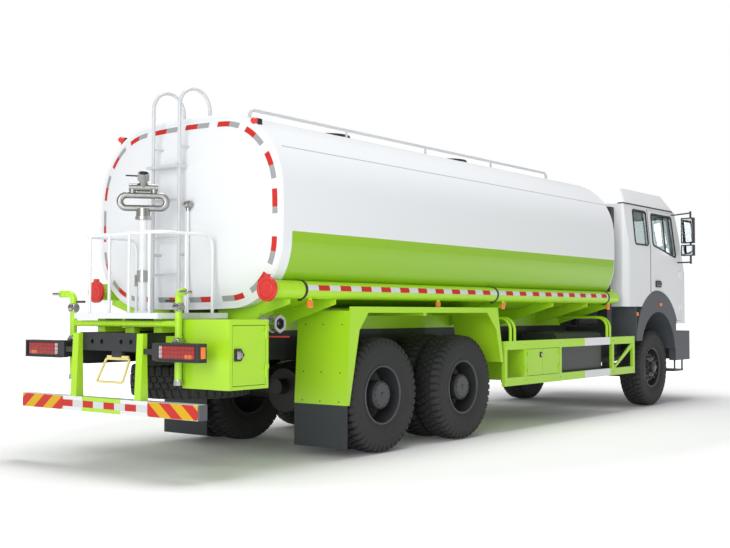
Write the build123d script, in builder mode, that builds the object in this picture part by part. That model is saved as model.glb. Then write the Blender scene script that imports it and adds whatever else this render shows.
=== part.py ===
from build123d import *
from math import sqrt
import os

# Three-axle water tanker truck with a forward-control cab. Millimetres.
# +X is forward, +Y is the truck's left, +Z is up. The origin lies on the ground under the middle
# of the overall length.

# Axle stations
rear_overhang = 2430
tandem_spacing = 1450
wheelbase = 5260
front_overhang = 1360
overall_length = rear_overhang + tandem_spacing + wheelbase + front_overhang
x_back = -overall_length / 2
x_front = overall_length / 2
x_rear_axle = x_back + rear_overhang
x_mid_axle = x_rear_axle + tandem_spacing
x_front_axle = x_mid_axle + wheelbase
x_tandem = (x_rear_axle + x_mid_axle) / 2

# Widths
body_half_width = 1245
cab_half_width = 1240

# Wheels
tyre_radius = 562
tyre_half_width = 157
rim_radius = 286
rim_half_width = 128
rim_wall = 14
seat_gap = 0.3
hub_radius = 139
spindle_radius = 55
front_wheel_y = cab_half_width - tyre_half_width - 75
dual_half_gap = tyre_half_width + 19
dual_y = 892
rear_hub_face = 300
spare_x = x_back + 1022
spare_drop = 168

# Steering
kingpin_y = front_wheel_y - 138
kingpin_radius = 25
steer_arm = 200
track_rod_z = tyre_radius - 124
beam_top = tyre_radius + 50

# Frame
rail_outer = 425
rail_flange = 80
rail_wall = 9
rail_bottom = 910
rail_top = 1190
rail_rear = x_back + 90
rail_front = x_front - 420
member_bottom = 1000
member_stations = (
    x_back + 490,
    spare_x,
    x_rear_axle - 740,
    x_mid_axle + 670,
    x_mid_axle + 2070,
    x_front_axle - 1840,
    x_front_axle - 990,
    x_front_axle + 810,
)
hanger_reach = 690

# Tank
tank_rear = x_back + 935
cab_rear = x_front_axle - 1060
tank_front = cab_rear - 420
tank_half_width = 1240
tank_bottom = 1390
tank_top = 3184
tank_top_corner = 740
tank_low_corner = 620
tank_dish = 85
manhole_stations = (("rear", tank_rear + 2075), ("front", tank_front - 2270))
manhole_radius = 245
manhole_bore = 215
manhole_top = tank_top + 78
well_depth = 420
lid_thickness = 26
lid_hinge = 296

# Side hose tubes
tube_radius = 82
tube_y = 1152
tube_z = 1567
tube_rear = tank_rear - 98
tube_front = tank_front + 145
cap_radius = 107
outrigger_stations = (
    tank_rear + 120,
    x_rear_axle - 740,
    x_mid_axle + 900,
    x_mid_axle + 2070,
    tank_front - 760,
    tank_front - 80,
)

# Rear platform
deck_rear = x_back + 110
deck_front = tank_rear + 4
deck_half_width = 560
deck_top = 1361
deck_depth = 50
railing_top = 2055
railing_tube = 15

# Cab
cab_front = x_front_axle + 1190
cab_wall = 50
cab_floor = 1450
cab_toe = 1200
cab_waist = 1990
cab_eave = 2900
windscreen_top_x = cab_front - 340
tumblehome = 58
tumble_start = cab_eave - 600
door_gap = 5
door_skin = 20
door_relief = 28
door_hinge_x = x_front_axle + 900
door_hinge_y = cab_half_width + 10.5
arch_radius = 640
arch_z = 735
flare_radius = 800
flare_z = 882
tilt_x = cab_front - 50
tilt_z = 1140
cab_profile = (
    (cab_rear, cab_floor),
    (cab_rear, cab_eave),
    (windscreen_top_x, cab_eave),
    (cab_front, cab_waist),
    (cab_front, cab_toe),
    (cab_front - 520, cab_toe),
    (cab_front - 620, cab_floor),
)
door_outline = (
    (x_front_axle - 235, cab_eave - 32),
    (x_front_axle + 715, cab_eave - 32),
    (door_hinge_x, cab_waist + 120),
    (door_hinge_x, cab_toe + 45),
    (x_front_axle - 235, cab_toe + 45),
)
window_top = cab_eave - 85
door_window = (
    (x_front_axle - 120, window_top),
    (x_front_axle + 640, window_top),
    (x_front_axle + 705, window_top - 615),
    (x_front_axle - 145, window_top - 460),
)
quarter_top = cab_eave - 70
quarter_sill = quarter_top - 490
quarter_window = (
    (x_front_axle - 770, quarter_top),
    (x_front_axle - 310, quarter_top),
    (x_front_axle - 310, quarter_sill),
    (x_front_axle - 770, quarter_sill),
)
screen_half = 1030
screen_sill = cab_waist + 70
screen_top = cab_eave - 80


def side_plane(y):
    """Upright plane along the truck at the given Y; its normal points to the truck's right."""
    return Plane.XZ.offset(-y)


def cross_plane(x):
    """Upright plane across the truck at the given X; its local axes are Y and Z."""
    return Plane.YZ.offset(x)


def keep(builder, name):
    """Label the finished piece and write it as a STEP file."""
    builder.part.label = name
    export_step(builder.part, "parts/" + name + ".step")


def block(x0, x1, y0, y1, z0, z1, mode=Mode.ADD):
    """Box between six limits."""
    with BuildSketch(Plane.XY.offset(z0)) as face:
        with Locations(((x0 + x1) / 2, (y0 + y1) / 2)):
            Rectangle(x1 - x0, y1 - y0)
    extrude(face.sketch, amount=z1 - z0, mode=mode)


def bar(start, end, radius, mode=Mode.ADD):
    """Round bar between two points."""
    along = Vector(*end) - Vector(*start)
    with BuildSketch(Plane(origin=start, z_dir=along)) as face:
        Circle(radius)
    extrude(face.sketch, amount=along.length, mode=mode)


def bent_tube(points, radius, bend, mode=Mode.ADD):
    """Round tube along straight runs with rounded bends."""
    with BuildLine() as path:
        FilletPolyline(*points, radius=bend)
    with BuildSketch(Plane(origin=path.line @ 0, z_dir=path.line % 0)) as face:
        Circle(radius)
    sweep(face.sketch, path=path.line, mode=mode)


def side_sheet(outline, y_left, y_right, mode=Mode.ADD):
    """Sheet with an (X, Z) outline, spread from the left limit to the right limit in Y."""
    with BuildSketch(side_plane(y_left)) as face:
        with BuildLine():
            Polyline(*outline, close=True)
        make_face()
    extrude(face.sketch, amount=y_left - y_right, mode=mode)


def cross_sheet(outline, x_rear, x_ahead, mode=Mode.ADD):
    """Sheet with a (Y, Z) outline, spread from the rear limit to the front limit in X."""
    with BuildSketch(cross_plane(x_rear)) as face:
        with BuildLine():
            Polyline(*outline, close=True)
        make_face()
    extrude(face.sketch, amount=x_ahead - x_rear, mode=mode)


def disc(x, z, radius, y_left, y_right, mode=Mode.ADD):
    """Round disc with its axis across the truck."""
    with BuildSketch(side_plane(y_left)) as face:
        with Locations((x, z)):
            Circle(radius)
    extrude(face.sketch, amount=y_left - y_right, mode=mode)


def tank_section(x, size=1.0):
    """Rounded tank section at X, drawn in towards its middle by the size factor."""
    mid = (tank_bottom + tank_top) / 2
    low = tank_bottom + 42 - mid
    high = tank_top - 74 - mid
    foot = tank_half_width - 75
    shoulder = tank_half_width - 90
    with BuildSketch(Plane(origin=(x, 0, mid), x_dir=(0, 1, 0), z_dir=(1, 0, 0))) as face:
        with BuildLine():
            ThreePointArc((-foot, low), (0, tank_bottom - mid), (foot, low))
            ThreePointArc((foot, low), (tank_half_width, -20), (shoulder, high))
            ThreePointArc((shoulder, high), (0, tank_top - mid), (-shoulder, high))
            ThreePointArc((-shoulder, high), (-tank_half_width, -20), (-foot, low))
        make_face()
        fillet(face.vertices().filter_by_position(Axis.Y, 0, 5000), tank_top_corner)
        fillet([v for v in face.vertices() if v.Y < low + 1], tank_low_corner)
        scale(by=size)
    return face.sketch


def cab_form(inset):
    """Closed cab volume, drawn in from the outer skin by the inset."""
    half = cab_half_width - inset
    with BuildPart() as form:
        with BuildSketch(side_plane(half)):
            with BuildLine():
                Polyline(*cab_profile, close=True)
            make_face()
            if inset:
                offset(amount=-inset, kind=Kind.INTERSECTION)
        extrude(amount=2 * half)
        corners = [e for e in form.edges() if abs(abs(e.center().Y) - half) < 1]
        fillet([e for e in corners if e.center().X > cab_front - 250 and e.center().Z > 1300], 170 - inset)
        fillet([e for e in corners if e.center().X < cab_rear + inset + 1], 100 - inset)
        for side in (-1, 1):
            cross_sheet(
                (
                    (side * half, tumble_start),
                    (side * (half + 40), tumble_start),
                    (side * (half + 40), cab_eave),
                    (side * (half - tumblehome), cab_eave),
                ),
                cab_rear - 10,
                cab_front + 10,
                mode=Mode.SUBTRACT,
            )
    return form.part


def prism(outline, y_left, y_right, grow=0.0):
    """Upright prism with an (X, Z) outline, grown all round, between two limits in Y."""
    with BuildPart() as form:
        with BuildSketch(side_plane(y_left)):
            with BuildLine():
                Polyline(*outline, close=True)
            make_face()
            if grow:
                offset(amount=grow, kind=Kind.INTERSECTION)
        extrude(amount=y_left - y_right)
    return form.part


os.makedirs("parts", exist_ok=True)

# Chassis frame: channel rails, crossmembers, spring hangers, cab rests, tilt pins and an end plate.
with BuildPart() as frame:
    with BuildSketch(cross_plane(rail_rear)):
        with Locations((-rail_outer, rail_bottom)):
            Rectangle(rail_flange, rail_top - rail_bottom, align=(Align.MIN, Align.MIN))
        with Locations((-rail_outer + rail_wall, rail_bottom + rail_wall)):
            Rectangle(
                rail_flange,
                rail_top - rail_bottom - 2 * rail_wall,
                align=(Align.MIN, Align.MIN),
                mode=Mode.SUBTRACT,
            )
    extrude(amount=rail_front - rail_rear)
    for x_hanger in (x_front_axle - hanger_reach, x_front_axle + hanger_reach):
        block(x_hanger - 50, x_hanger + 50, -rail_outer, -rail_outer + 60, 782, rail_bottom)
    block(x_tandem - 110, x_tandem + 110, -rail_outer - 110, -rail_outer, 838, 1010)
    block(cab_rear + 40, cab_rear + 100, -rail_outer, -rail_outer + 80, rail_top, cab_floor - seat_gap)
    block(rail_front - 40, tilt_x - 60, -365, -345, 1080, rail_top - 4)
    block(tilt_x - 60, tilt_x + 30, -365, -345, 1080, 1170)
    bar((tilt_x, -400, tilt_z), (tilt_x, -340, tilt_z), 18)
    mirror(about=Plane.XZ)
    for x_member in member_stations:
        block(x_member - 45, x_member + 45, -rail_outer + 4, rail_outer - 4, member_bottom, 1140)
    bar((x_tandem, -rail_outer - 20, 925), (x_tandem, rail_outer + 20, 925), 52)
    block(rail_rear - 14, rail_rear, -rail_outer, rail_outer, 1030, rail_top)
    for y_hole in (-260, -130, 130, 260):
        bar((rail_rear - 20, y_hole, 1110), (rail_rear + 10, y_hole, 1110), 22, mode=Mode.SUBTRACT)
keep(frame, "frame")

# Axles: a dropped front beam with kingpin eyes, and two drive axles with hub spindles.
with BuildPart() as axles:
    cross_sheet(
        (
            (-kingpin_y, 500),
            (-kingpin_y + 130, 500),
            (-kingpin_y + 250, 470),
            (0, 470),
            (0, 560),
            (-kingpin_y + 290, 560),
            (-kingpin_y + 320, beam_top),
            (-kingpin_y, beam_top),
        ),
        x_front_axle - 45,
        x_front_axle + 45,
    )
    block(x_front_axle - 85, x_front_axle + 85, -475, -385, 540, beam_top)
    bar((x_front_axle, -kingpin_y, 485), (x_front_axle, -kingpin_y, 639), 54)
    bar(
        (x_front_axle, -kingpin_y, 470),
        (x_front_axle, -kingpin_y, 650),
        kingpin_radius + seat_gap,
        mode=Mode.SUBTRACT,
    )
    mirror(about=Plane.XZ)
    for x_axle in (x_mid_axle, x_rear_axle):
        bar((x_axle, -600, tyre_radius), (x_axle, 600, tyre_radius), 92)
        bar((x_axle, -1120, tyre_radius), (x_axle, 1120, tyre_radius), spindle_radius)
        bar((x_axle - 110, 0, tyre_radius), (x_axle + 110, 0, tyre_radius), 225)
        bar((x_axle - 230, 0, tyre_radius + 40), (x_axle + 230, 0, tyre_radius + 40), 78)
        for y_pad in (-500, 500):
            block(x_axle - 75, x_axle + 75, y_pad - 38, y_pad + 38, tyre_radius, 668)
keep(axles, "axles")

# Leaf springs: a cambered pack over each front pad, an inverted pack across each tandem side.
with BuildPart() as springs:
    with BuildSketch(side_plane(-390)):
        with BuildLine():
            ThreePointArc((x_front_axle - 720, 734), (x_front_axle, beam_top), (x_front_axle + 720, 734))
            Line((x_front_axle + 720, 734), (x_front_axle + 720, 764))
            ThreePointArc((x_front_axle + 720, 764), (x_front_axle, 690), (x_front_axle - 720, 764))
            Line((x_front_axle - 720, 764), (x_front_axle - 720, 734))
        make_face()
    extrude(amount=80)
    for x_eye in (x_front_axle - hanger_reach, x_front_axle + hanger_reach):
        disc(x_eye, 752, 30, -390, -470)
    with BuildSketch(side_plane(-460)):
        with BuildLine():
            ThreePointArc((x_rear_axle - 60, 668), (x_tandem, 760), (x_mid_axle + 60, 668))
            Line((x_mid_axle + 60, 668), (x_mid_axle + 60, 700))
            ThreePointArc((x_mid_axle + 60, 700), (x_tandem, 838), (x_rear_axle - 60, 700))
            Line((x_rear_axle - 60, 700), (x_rear_axle - 60, 668))
        make_face()
    extrude(amount=80)
    mirror(about=Plane.XZ)
keep(springs, "springs")

# Engine and gearbox as one plain block on four mounts.
with BuildPart() as engine:
    block(x_front_axle - 700, x_front_axle + 600, -320, 320, 640, 1330)
    block(x_front_axle - 1640, x_front_axle - 700, -220, 220, 640, 980)
    for x_mount in (x_front_axle - 560, x_front_axle + 420):
        block(x_mount, x_mount + 100, rail_wall - rail_outer, rail_outer - rail_wall, 945, 1000)
keep(engine, "engine")

# Propeller shafts: gearbox to the middle axle, and between the two drive axles.
shaft_start = Vector(x_front_axle - 1640, 0, 780)
shaft_end = Vector(x_mid_axle + 230, 0, tyre_radius + 40)
with BuildPart() as prop_shafts:
    with BuildSketch(Plane(origin=shaft_start, z_dir=(-1, 0, 0))):
        Circle(52)
    extrude(amount=(shaft_end - shaft_start).length, dir=shaft_end - shaft_start)
    bar((x_mid_axle - 230, 0, tyre_radius + 40), (x_rear_axle + 230, 0, tyre_radius + 40), 52)
keep(prop_shafts, "prop_shafts")

# Tank: rounded barrel with dished heads, two manhole necks with wells, and lid hinge lugs.
with BuildPart() as tank:
    extrude(tank_section(tank_rear), amount=tank_front - tank_rear)
    for x_head, out in ((tank_rear, -1), (tank_front, 1)):
        loft(
            [
                tank_section(x_head, 0.975),
                tank_section(x_head + out * tank_dish * 0.62, 0.78),
                tank_section(x_head + out * tank_dish, 0.42),
            ]
        )
    for manhole, x_hole in manhole_stations:
        bar((x_hole, 0, tank_top - 60), (x_hole, 0, manhole_top), manhole_radius)
        for y_lug in (-86, 66):
            block(x_hole - lid_hinge - 18, x_hole - 220, y_lug, y_lug + 20, tank_top - 20, manhole_top - 6)
            block(x_hole - lid_hinge - 18, x_hole - 264, y_lug, y_lug + 20, tank_top, manhole_top + 30)
        bar((x_hole - lid_hinge, -80, manhole_top + 13), (x_hole - lid_hinge, 80, manhole_top + 13), 9)
        bar(
            (x_hole, 0, tank_top - well_depth),
            (x_hole, 0, manhole_top + 40),
            manhole_bore,
            mode=Mode.SUBTRACT,
        )
keep(tank, "tank")

# Manhole lids: flat covers with a hinge barrel at the back and a grip in the middle.
for manhole, x_hole in manhole_stations:
    with BuildPart() as lid:
        z_lid = manhole_top + seat_gap
        bar((x_hole, 0, z_lid), (x_hole, 0, z_lid + lid_thickness), 255)
        bar((x_hole, 0, z_lid + lid_thickness), (x_hole, 0, z_lid + lid_thickness + 14), 120)
        block(x_hole - lid_hinge, x_hole - 200, -55, 55, z_lid, z_lid + lid_thickness)
        bar((x_hole - lid_hinge, -60, manhole_top + 13), (x_hole - lid_hinge, 60, manhole_top + 13), 18)
        bar(
            (x_hole - lid_hinge, -70, manhole_top + 13),
            (x_hole - lid_hinge, 70, manhole_top + 13),
            9 + seat_gap,
            mode=Mode.SUBTRACT,
        )
    keep(lid, "manhole_lid_" + manhole)

# Tank cradle: two bearers on the frame and outriggers that also carry the hose tubes.
with BuildPart() as tank_cradle:
    block(tank_rear + 110, tank_front - 40, -430, -330, rail_top, 1420)
    for x_arm in outrigger_stations:
        cross_sheet(
            (
                (-425, 1205),
                (-tube_y - 45, 1440),
                (-tube_y - 45, tube_z - tube_radius - seat_gap),
                (-425, tube_z - tube_radius - seat_gap),
            ),
            x_arm,
            x_arm + 16,
        )
    mirror(about=Plane.XZ)
    extrude(tank_section(tank_rear - 5, 1.0004), amount=tank_front - tank_rear + 10, mode=Mode.SUBTRACT)
keep(tank_cradle, "tank_cradle")

# Handrails along the tank top.
rails_rear = tank_rear + 253
rails_front = tank_front - 718
rails_y = 583
rails_top = tank_top + 62
with BuildPart() as tank_rails:
    bent_tube(
        (
            (rails_rear, -rails_y, tank_top - 84),
            (rails_rear, -rails_y, rails_top),
            (rails_front, -rails_y, rails_top),
            (rails_front, -rails_y, tank_top - 84),
        ),
        16,
        60,
    )
    for share in (0.25, 0.5, 0.75):
        x_post = rails_rear + share * (rails_front - rails_rear)
        bar((x_post, -rails_y, tank_top - 84), (x_post, -rails_y, rails_top), 12)
    mirror(about=Plane.XZ)
    add(tank.part, mode=Mode.SUBTRACT)
keep(tank_rails, "tank_rails")

# Rear ladder: two stringers that hoop over onto the tank, rungs, a top step and stand-offs.
ladder_x = tank_rear - 185
ladder_sides = (240, -115)
with BuildPart() as ladder:
    for y_side in ladder_sides:
        bent_tube(
            (
                (ladder_x, y_side, deck_top),
                (ladder_x, y_side, tank_top + 268),
                (ladder_x + 385, y_side, tank_top + 268),
                (ladder_x + 385, y_side, tank_top - 84),
            ),
            17,
            185,
        )
        bar((ladder_x, y_side, tank_top - 284), (tank_rear + 10, y_side, tank_top - 284), 12)
        bar((ladder_x, y_side, 1900), (tank_rear + 10, y_side, 1900), 12)
    for z_rung in (1710, 2050, 2400):
        bar((ladder_x, ladder_sides[1], z_rung), (ladder_x, ladder_sides[0], z_rung), 13)
    block(ladder_x - 70, ladder_x + 60, -135, 260, 2700, 2725)
    add(tank.part, mode=Mode.SUBTRACT)
keep(ladder, "ladder")

# Rear platform: deck on two bearers with a tubular railing.
railing_rear = deck_rear + 45
railing_half = 515
with BuildPart() as platform:
    block(deck_rear, deck_front, -deck_half_width, deck_half_width, deck_top - deck_depth, deck_top)
    for y_bearer in (-430, 330):
        block(deck_rear + 160, deck_front - 20, y_bearer, y_bearer + 100, rail_top, deck_top - deck_depth)
    bent_tube(
        (
            (deck_front - 150, railing_half, deck_top - 10),
            (deck_front - 150, railing_half, railing_top),
            (railing_rear, railing_half, railing_top),
            (railing_rear, -railing_half, railing_top),
            (deck_front - 150, -railing_half, railing_top),
            (deck_front - 150, -railing_half, deck_top - 10),
        ),
        railing_tube,
        110,
    )
    for y_post in (400, 133, -133, -400):
        bar((railing_rear, y_post, deck_top - 10), (railing_rear, y_post, railing_top), 12)
    for y_post in (-railing_half, railing_half):
        bar((deck_front - 470, y_post, deck_top - 10), (deck_front - 470, y_post, railing_top), 12)
keep(platform, "platform")

# Side hose tubes with a filler knob at the front, and their end caps.
with BuildPart() as hose_tubes:
    bar((tube_rear, -tube_y, tube_z), (tube_front, -tube_y, tube_z), tube_radius)
    bar((tube_front - 60, -tube_y, tube_z + 60), (tube_front - 60, -tube_y, tube_z + 118), 20)
    mirror(about=Plane.XZ)
keep(hose_tubes, "hose_tubes")

with BuildPart() as tube_caps:
    bar((tube_rear - 34, -tube_y, tube_z), (tube_rear, -tube_y, tube_z), cap_radius)
    block(tube_rear - 34, tube_rear, -tube_y - 25, -tube_y + 25, tube_z + 80, tube_z + cap_radius + 22)
    mirror(about=Plane.XZ)
keep(tube_caps, "tube_caps")

# Tandem mudguards: sloped end walls, a top sheet, an outer frame strip and carrying arms.
guard_rear_top = x_rear_axle - tyre_radius - 6
guard_rear_foot = x_rear_axle - tyre_radius - 65
guard_front_top = x_mid_axle + tyre_radius + 96
guard_front_foot = x_mid_axle + tyre_radius + 224
guard_top = 1420
guard_sheet = 1380
guard_inner = 640
flap_top = 499
with BuildPart() as rear_mudguards:
    side_sheet(
        (
            (guard_rear_top, guard_sheet),
            (guard_rear_top + 12, guard_sheet),
            (guard_rear_foot + 12, flap_top),
            (guard_rear_foot, flap_top),
        ),
        -guard_inner + 40,
        -body_half_width,
    )
    side_sheet(
        (
            (guard_front_top - 12, guard_sheet),
            (guard_front_top, guard_sheet),
            (guard_front_foot, 802),
            (guard_front_foot - 12, 802),
        ),
        -guard_inner,
        -body_half_width,
    )
    block(guard_rear_top, guard_front_top, -body_half_width, -guard_inner, guard_sheet - 14, guard_sheet)
    side_sheet(
        (
            (guard_rear_foot, flap_top),
            (guard_rear_top, guard_top),
            (guard_front_top, guard_top),
            (guard_front_foot, 802),
            (guard_front_foot - 60, 802),
            (guard_front_top - 24, 1168),
            (guard_front_top - 218, 1362),
            (guard_rear_top + 276, 1362),
            (guard_rear_top + 136, 1200),
            (guard_rear_foot + 42, flap_top),
        ),
        -body_half_width + 14,
        -body_half_width,
    )
    for x_arm in (guard_rear_top + 90, x_tandem, guard_front_top - 90):
        block(x_arm - 30, x_arm + 30, -body_half_width + 45, -rail_outer - 5, 1330, guard_sheet - 14)
    mirror(about=Plane.XZ)
keep(rear_mudguards, "rear_mudguards")

with BuildPart() as mud_flaps:
    block(guard_rear_foot, guard_rear_foot + 11, -body_half_width, -600, 96, flap_top)
    mirror(about=Plane.XZ)
keep(mud_flaps, "mud_flaps")

# Rear underrun bar on two raked brackets.
bar_bottom = 497
bar_top = 623
bar_half = body_half_width - 65
bracket_face = rail_rear - 14
with BuildPart() as rear_bumper:
    block(x_back, x_back + 100, -bar_half, bar_half, bar_bottom, bar_top)
    fillet(rear_bumper.edges().filter_by(Axis.Z), 12)
    for y_bracket in (-390, 470):
        side_sheet(
            (
                (x_back + 5, bar_top - 12),
                (x_back + 90, bar_top - 12),
                (bracket_face, 1025),
                (bracket_face, rail_top - 5),
                (bracket_face - 44, rail_top - 5),
            ),
            y_bracket,
            y_bracket - 80,
        )
keep(rear_bumper, "rear_bumper")

# Lamps: rear clusters on arms off the brackets, and headlamps set in the front bumper.
lamp_inner = 700
lamp_outer = 1060
bumper_half = cab_half_width - 5
bumper_top = 1085
with BuildPart() as lamps:
    block(x_back + 24, x_back + 112, -body_half_width + 95, -590, 965, 1108)
    block(x_back + 36, x_back + 66, -590, -470, 1012, 1058)
    block(
        x_front - 35 + seat_gap,
        x_front - 4,
        -lamp_outer + seat_gap,
        -lamp_inner - seat_gap,
        780 + seat_gap,
        960 - seat_gap,
    )
    mirror(about=Plane.XZ)
keep(lamps, "lamps")

# Rear tool box on the right with one side-hung door.
box_rear = x_back + 274
box_front = box_rear + 466
box_inner = -690
box_bottom = 725
box_top = 1305
box_wall = 20
box_hinge_x = box_front - 39
box_hinges = (820, 1140)
hinge_y = -body_half_width - 9
with BuildPart() as tool_box:
    block(box_rear, box_front, -body_half_width, box_inner, box_bottom, box_top)
    block(
        box_rear + box_wall,
        box_front - box_wall,
        -body_half_width + box_wall,
        box_inner - box_wall,
        box_bottom + box_wall,
        box_top - box_wall,
        mode=Mode.SUBTRACT,
    )
    block(
        box_rear + 34,
        box_front - 34,
        -body_half_width - 5,
        -body_half_width + box_wall,
        box_bottom + 30,
        box_top - 46,
        mode=Mode.SUBTRACT,
    )
    for x_arm in (box_rear + 50, box_front - 110):
        block(x_arm, x_arm + 60, box_inner, -rail_outer, 1100, 1160)
    for z_hinge in box_hinges:
        z_knuckle = z_hinge + 70 + seat_gap
        bar((box_hinge_x, hinge_y, z_knuckle), (box_hinge_x, hinge_y, z_knuckle + 40), 8)
        block(box_hinge_x + 2, box_front - 6, hinge_y - 3, -body_half_width, z_knuckle, z_knuckle + 40)
keep(tool_box, "tool_box")

with BuildPart() as tool_box_door:
    block(
        box_rear + 39,
        box_front - 39,
        -body_half_width,
        -body_half_width + 18,
        box_bottom + 35,
        box_top - 51,
    )
    block(box_rear + 70, box_rear + 150, -body_half_width - 6, -body_half_width, 975, 1055)
    for z_hinge in box_hinges:
        block(box_hinge_x - 50, box_hinge_x, -body_half_width - 6, -body_half_width, z_hinge, z_hinge + 70)
        bar((box_hinge_x, hinge_y, z_hinge), (box_hinge_x, hinge_y, z_hinge + 70), 8)
keep(tool_box_door, "tool_box_door")

# Spray pipework: a cross manifold with two upright spray heads, a feed pipe and the side outlet.
spray_x = deck_rear + 102
spray_y = 706
manifold_z = 1266
outlet_x = tank_rear + 48
outlet_end = -body_half_width + 85
outlet_bore = 52
with BuildPart() as spray_pipework:
    for side in (-1, 1):
        bent_tube(
            (
                (spray_x, side * spray_y, 770),
                (spray_x, side * spray_y, 1535),
                (spray_x - 55, side * (spray_y + 130), 1535),
            ),
            31,
            55,
        )
        bar((spray_x, side * spray_y, 1375), (spray_x, side * spray_y, 1440), 40)
        bar((spray_x, side * spray_y, 1090), (spray_x, side * spray_y, 1140), 40)
        bar((spray_x, side * spray_y, 752), (spray_x, side * spray_y, 800), 37)
    bar((spray_x, -spray_y, manifold_z), (spray_x, spray_y, manifold_z), 27)
    bar((spray_x, 0, manifold_z), (outlet_x, 0, manifold_z), 38)
    bar((outlet_x, 40, manifold_z), (outlet_x, outlet_end + 200, manifold_z), 40)
    bar((outlet_x, outlet_end + 280, manifold_z), (outlet_x, outlet_end + 230, manifold_z), 66)
    bar((outlet_x, outlet_end + 200, manifold_z), (outlet_x, outlet_end, manifold_z), 74)
    bar(
        (outlet_x, outlet_end + 150, manifold_z),
        (outlet_x, outlet_end - 5, manifold_z),
        outlet_bore,
        mode=Mode.SUBTRACT,
    )
    block(outlet_x - 20, outlet_x + 20, outlet_end + 235, outlet_end + 275, manifold_z, manifold_z + 95)
    block(spray_x + 70, spray_x + 130, -60, 60, rail_top - 60, manifold_z)
    block(spray_x + 70, spray_x + 130, -400, 400, rail_top - 23, rail_top - 9)
keep(spray_pipework, "spray_pipework")

# Water cannon: fixed standpipe with a ball valve, a swivel with an oval waterway, and the barrel.
cannon_x = tank_rear - 510
cannon_flange = 2228
cannon_pivot = 2490
waterway_z = cannon_pivot - 130
waterway_half = 34
with BuildPart() as cannon_standpipe:
    bar((cannon_x, 0, deck_top), (cannon_x, 0, deck_top + 16), 80)
    bar((cannon_x, 0, deck_top), (cannon_x, 0, cannon_flange), 36)
    bar((cannon_x, 0, cannon_flange - 30), (cannon_x, 0, cannon_flange), 70)
    bar((cannon_x, 0, 1640), (cannon_x, 0, 1740), 52)
    bar((cannon_x, 0, 1690), (cannon_x, 95, 1690), 14)
    block(cannon_x - 14, cannon_x + 14, 80, 96, 1600, 1704)
    bar((cannon_x, 0, cannon_flange), (cannon_x, 0, cannon_flange + 34), 26)
keep(cannon_standpipe, "cannon_standpipe")

# The barrel heads to the right rear, so the waterway's cross axis runs to the left rear.
heading = Vector(-0.65, -0.76, 0).normalized()
across = Vector(heading.Y, -heading.X, 0)
pivot = Vector(cannon_x, 0, cannon_pivot)
with BuildPart() as cannon_swivel:
    with BuildSketch(Plane(origin=(cannon_x, 0, waterway_z), x_dir=across, z_dir=heading)):
        SlotOverall(470, 170)
        SlotOverall(350, 60, mode=Mode.SUBTRACT)
    extrude(amount=waterway_half, both=True)
    middle = Vector(cannon_x, 0, waterway_z)
    rims = [e for e in cannon_swivel.edges() if abs((e.center() - middle).dot(heading)) > waterway_half - 1]
    fillet(rims, 24)
    bar((cannon_x, 0, cannon_flange + seat_gap), (cannon_x, 0, cannon_flange + 70), 62)
    bar(
        (cannon_x, 0, cannon_flange - 1),
        (cannon_x, 0, cannon_flange + 36),
        26 + seat_gap,
        mode=Mode.SUBTRACT,
    )
    for side in (-1, 1):
        start = pivot + across * (side * 62)
        end = pivot + across * (side * 128)
        bar(tuple(start), tuple(end), 34)
        foot = pivot + across * (side * 95) + Vector(0, 0, -95)
        bar(tuple(foot), tuple(foot + Vector(0, 0, 95)), 28)
    bar(
        tuple(pivot - across * 62.1),
        tuple(pivot + across * 62.1),
        20,
    )
keep(cannon_swivel, "cannon_swivel")

aim = (heading * 0.5 + Vector(0, 0, 0.866)).normalized()
with BuildPart() as cannon_barrel:
    bar(tuple(pivot - across * 60), tuple(pivot + across * 60), 38)
    bar(tuple(pivot), tuple(pivot + aim * 110), 36)
    bar(tuple(pivot + aim * 75), tuple(pivot + aim * 140), 52)
    bar(tuple(pivot + aim * 95), tuple(pivot + aim * 150), 40, mode=Mode.SUBTRACT)
    bar(
        tuple(pivot - across * 61),
        tuple(pivot + across * 61),
        20 + seat_gap,
        mode=Mode.SUBTRACT,
    )
keep(cannon_barrel, "cannon_barrel")

# Side guards: a framed rail along each side with two pairs of hooped carrying tubes.
guard_back = guard_front_foot + 24
guard_end = x_front_axle - 850
guard_face = -body_half_width + 40
cabinet_rear = guard_back + 459
cabinet_front = cabinet_rear + 936
guard_posts = (guard_back, cabinet_rear, cabinet_front - 60, guard_end - 740, guard_end - 60)
hoop_stations = (guard_back + 165, guard_back + 260, guard_end - 860, guard_end - 765)
hoop_y = -body_half_width + 21
leaf_rear_hinge = cabinet_rear + 65
leaf_front_hinge = cabinet_front - 65
leaf_hinges = (660, 850)
with BuildPart() as side_guards:
    block(guard_back, guard_end, -body_half_width, guard_face, 520, 615)
    block(guard_back, guard_end, -body_half_width, guard_face, 935, 1035)
    for x_post in guard_posts:
        block(x_post, x_post + 60, -body_half_width, guard_face, 520, 1035)
    for x_hoop in hoop_stations:
        bent_tube(((x_hoop, -rail_outer - 5, 1300), (x_hoop, hoop_y, 1300), (x_hoop, hoop_y, 1020)), 18, 140)
    side_sheet(
        (
            (guard_end - 680, 615),
            (guard_end - 620, 615),
            (guard_end - 60, 880),
            (guard_end - 60, 935),
            (guard_end - 90, 935),
        ),
        -body_half_width + 30,
        -body_half_width + 10,
    )
    mirror(about=Plane.XZ)
    for x_hinge, x_low, x_high in (
        (leaf_rear_hinge, leaf_rear_hinge - 24, leaf_rear_hinge - 2),
        (leaf_front_hinge, leaf_front_hinge + 2, leaf_front_hinge + 24),
    ):
        for z_hinge in leaf_hinges:
            z_knuckle = z_hinge + 50 + seat_gap
            bar((x_hinge, hinge_y, z_knuckle), (x_hinge, hinge_y, z_knuckle + 30), 8)
            block(x_low, x_high, hinge_y - 3, -body_half_width, z_knuckle, z_knuckle + 30)
keep(side_guards, "side_guards")

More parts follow.
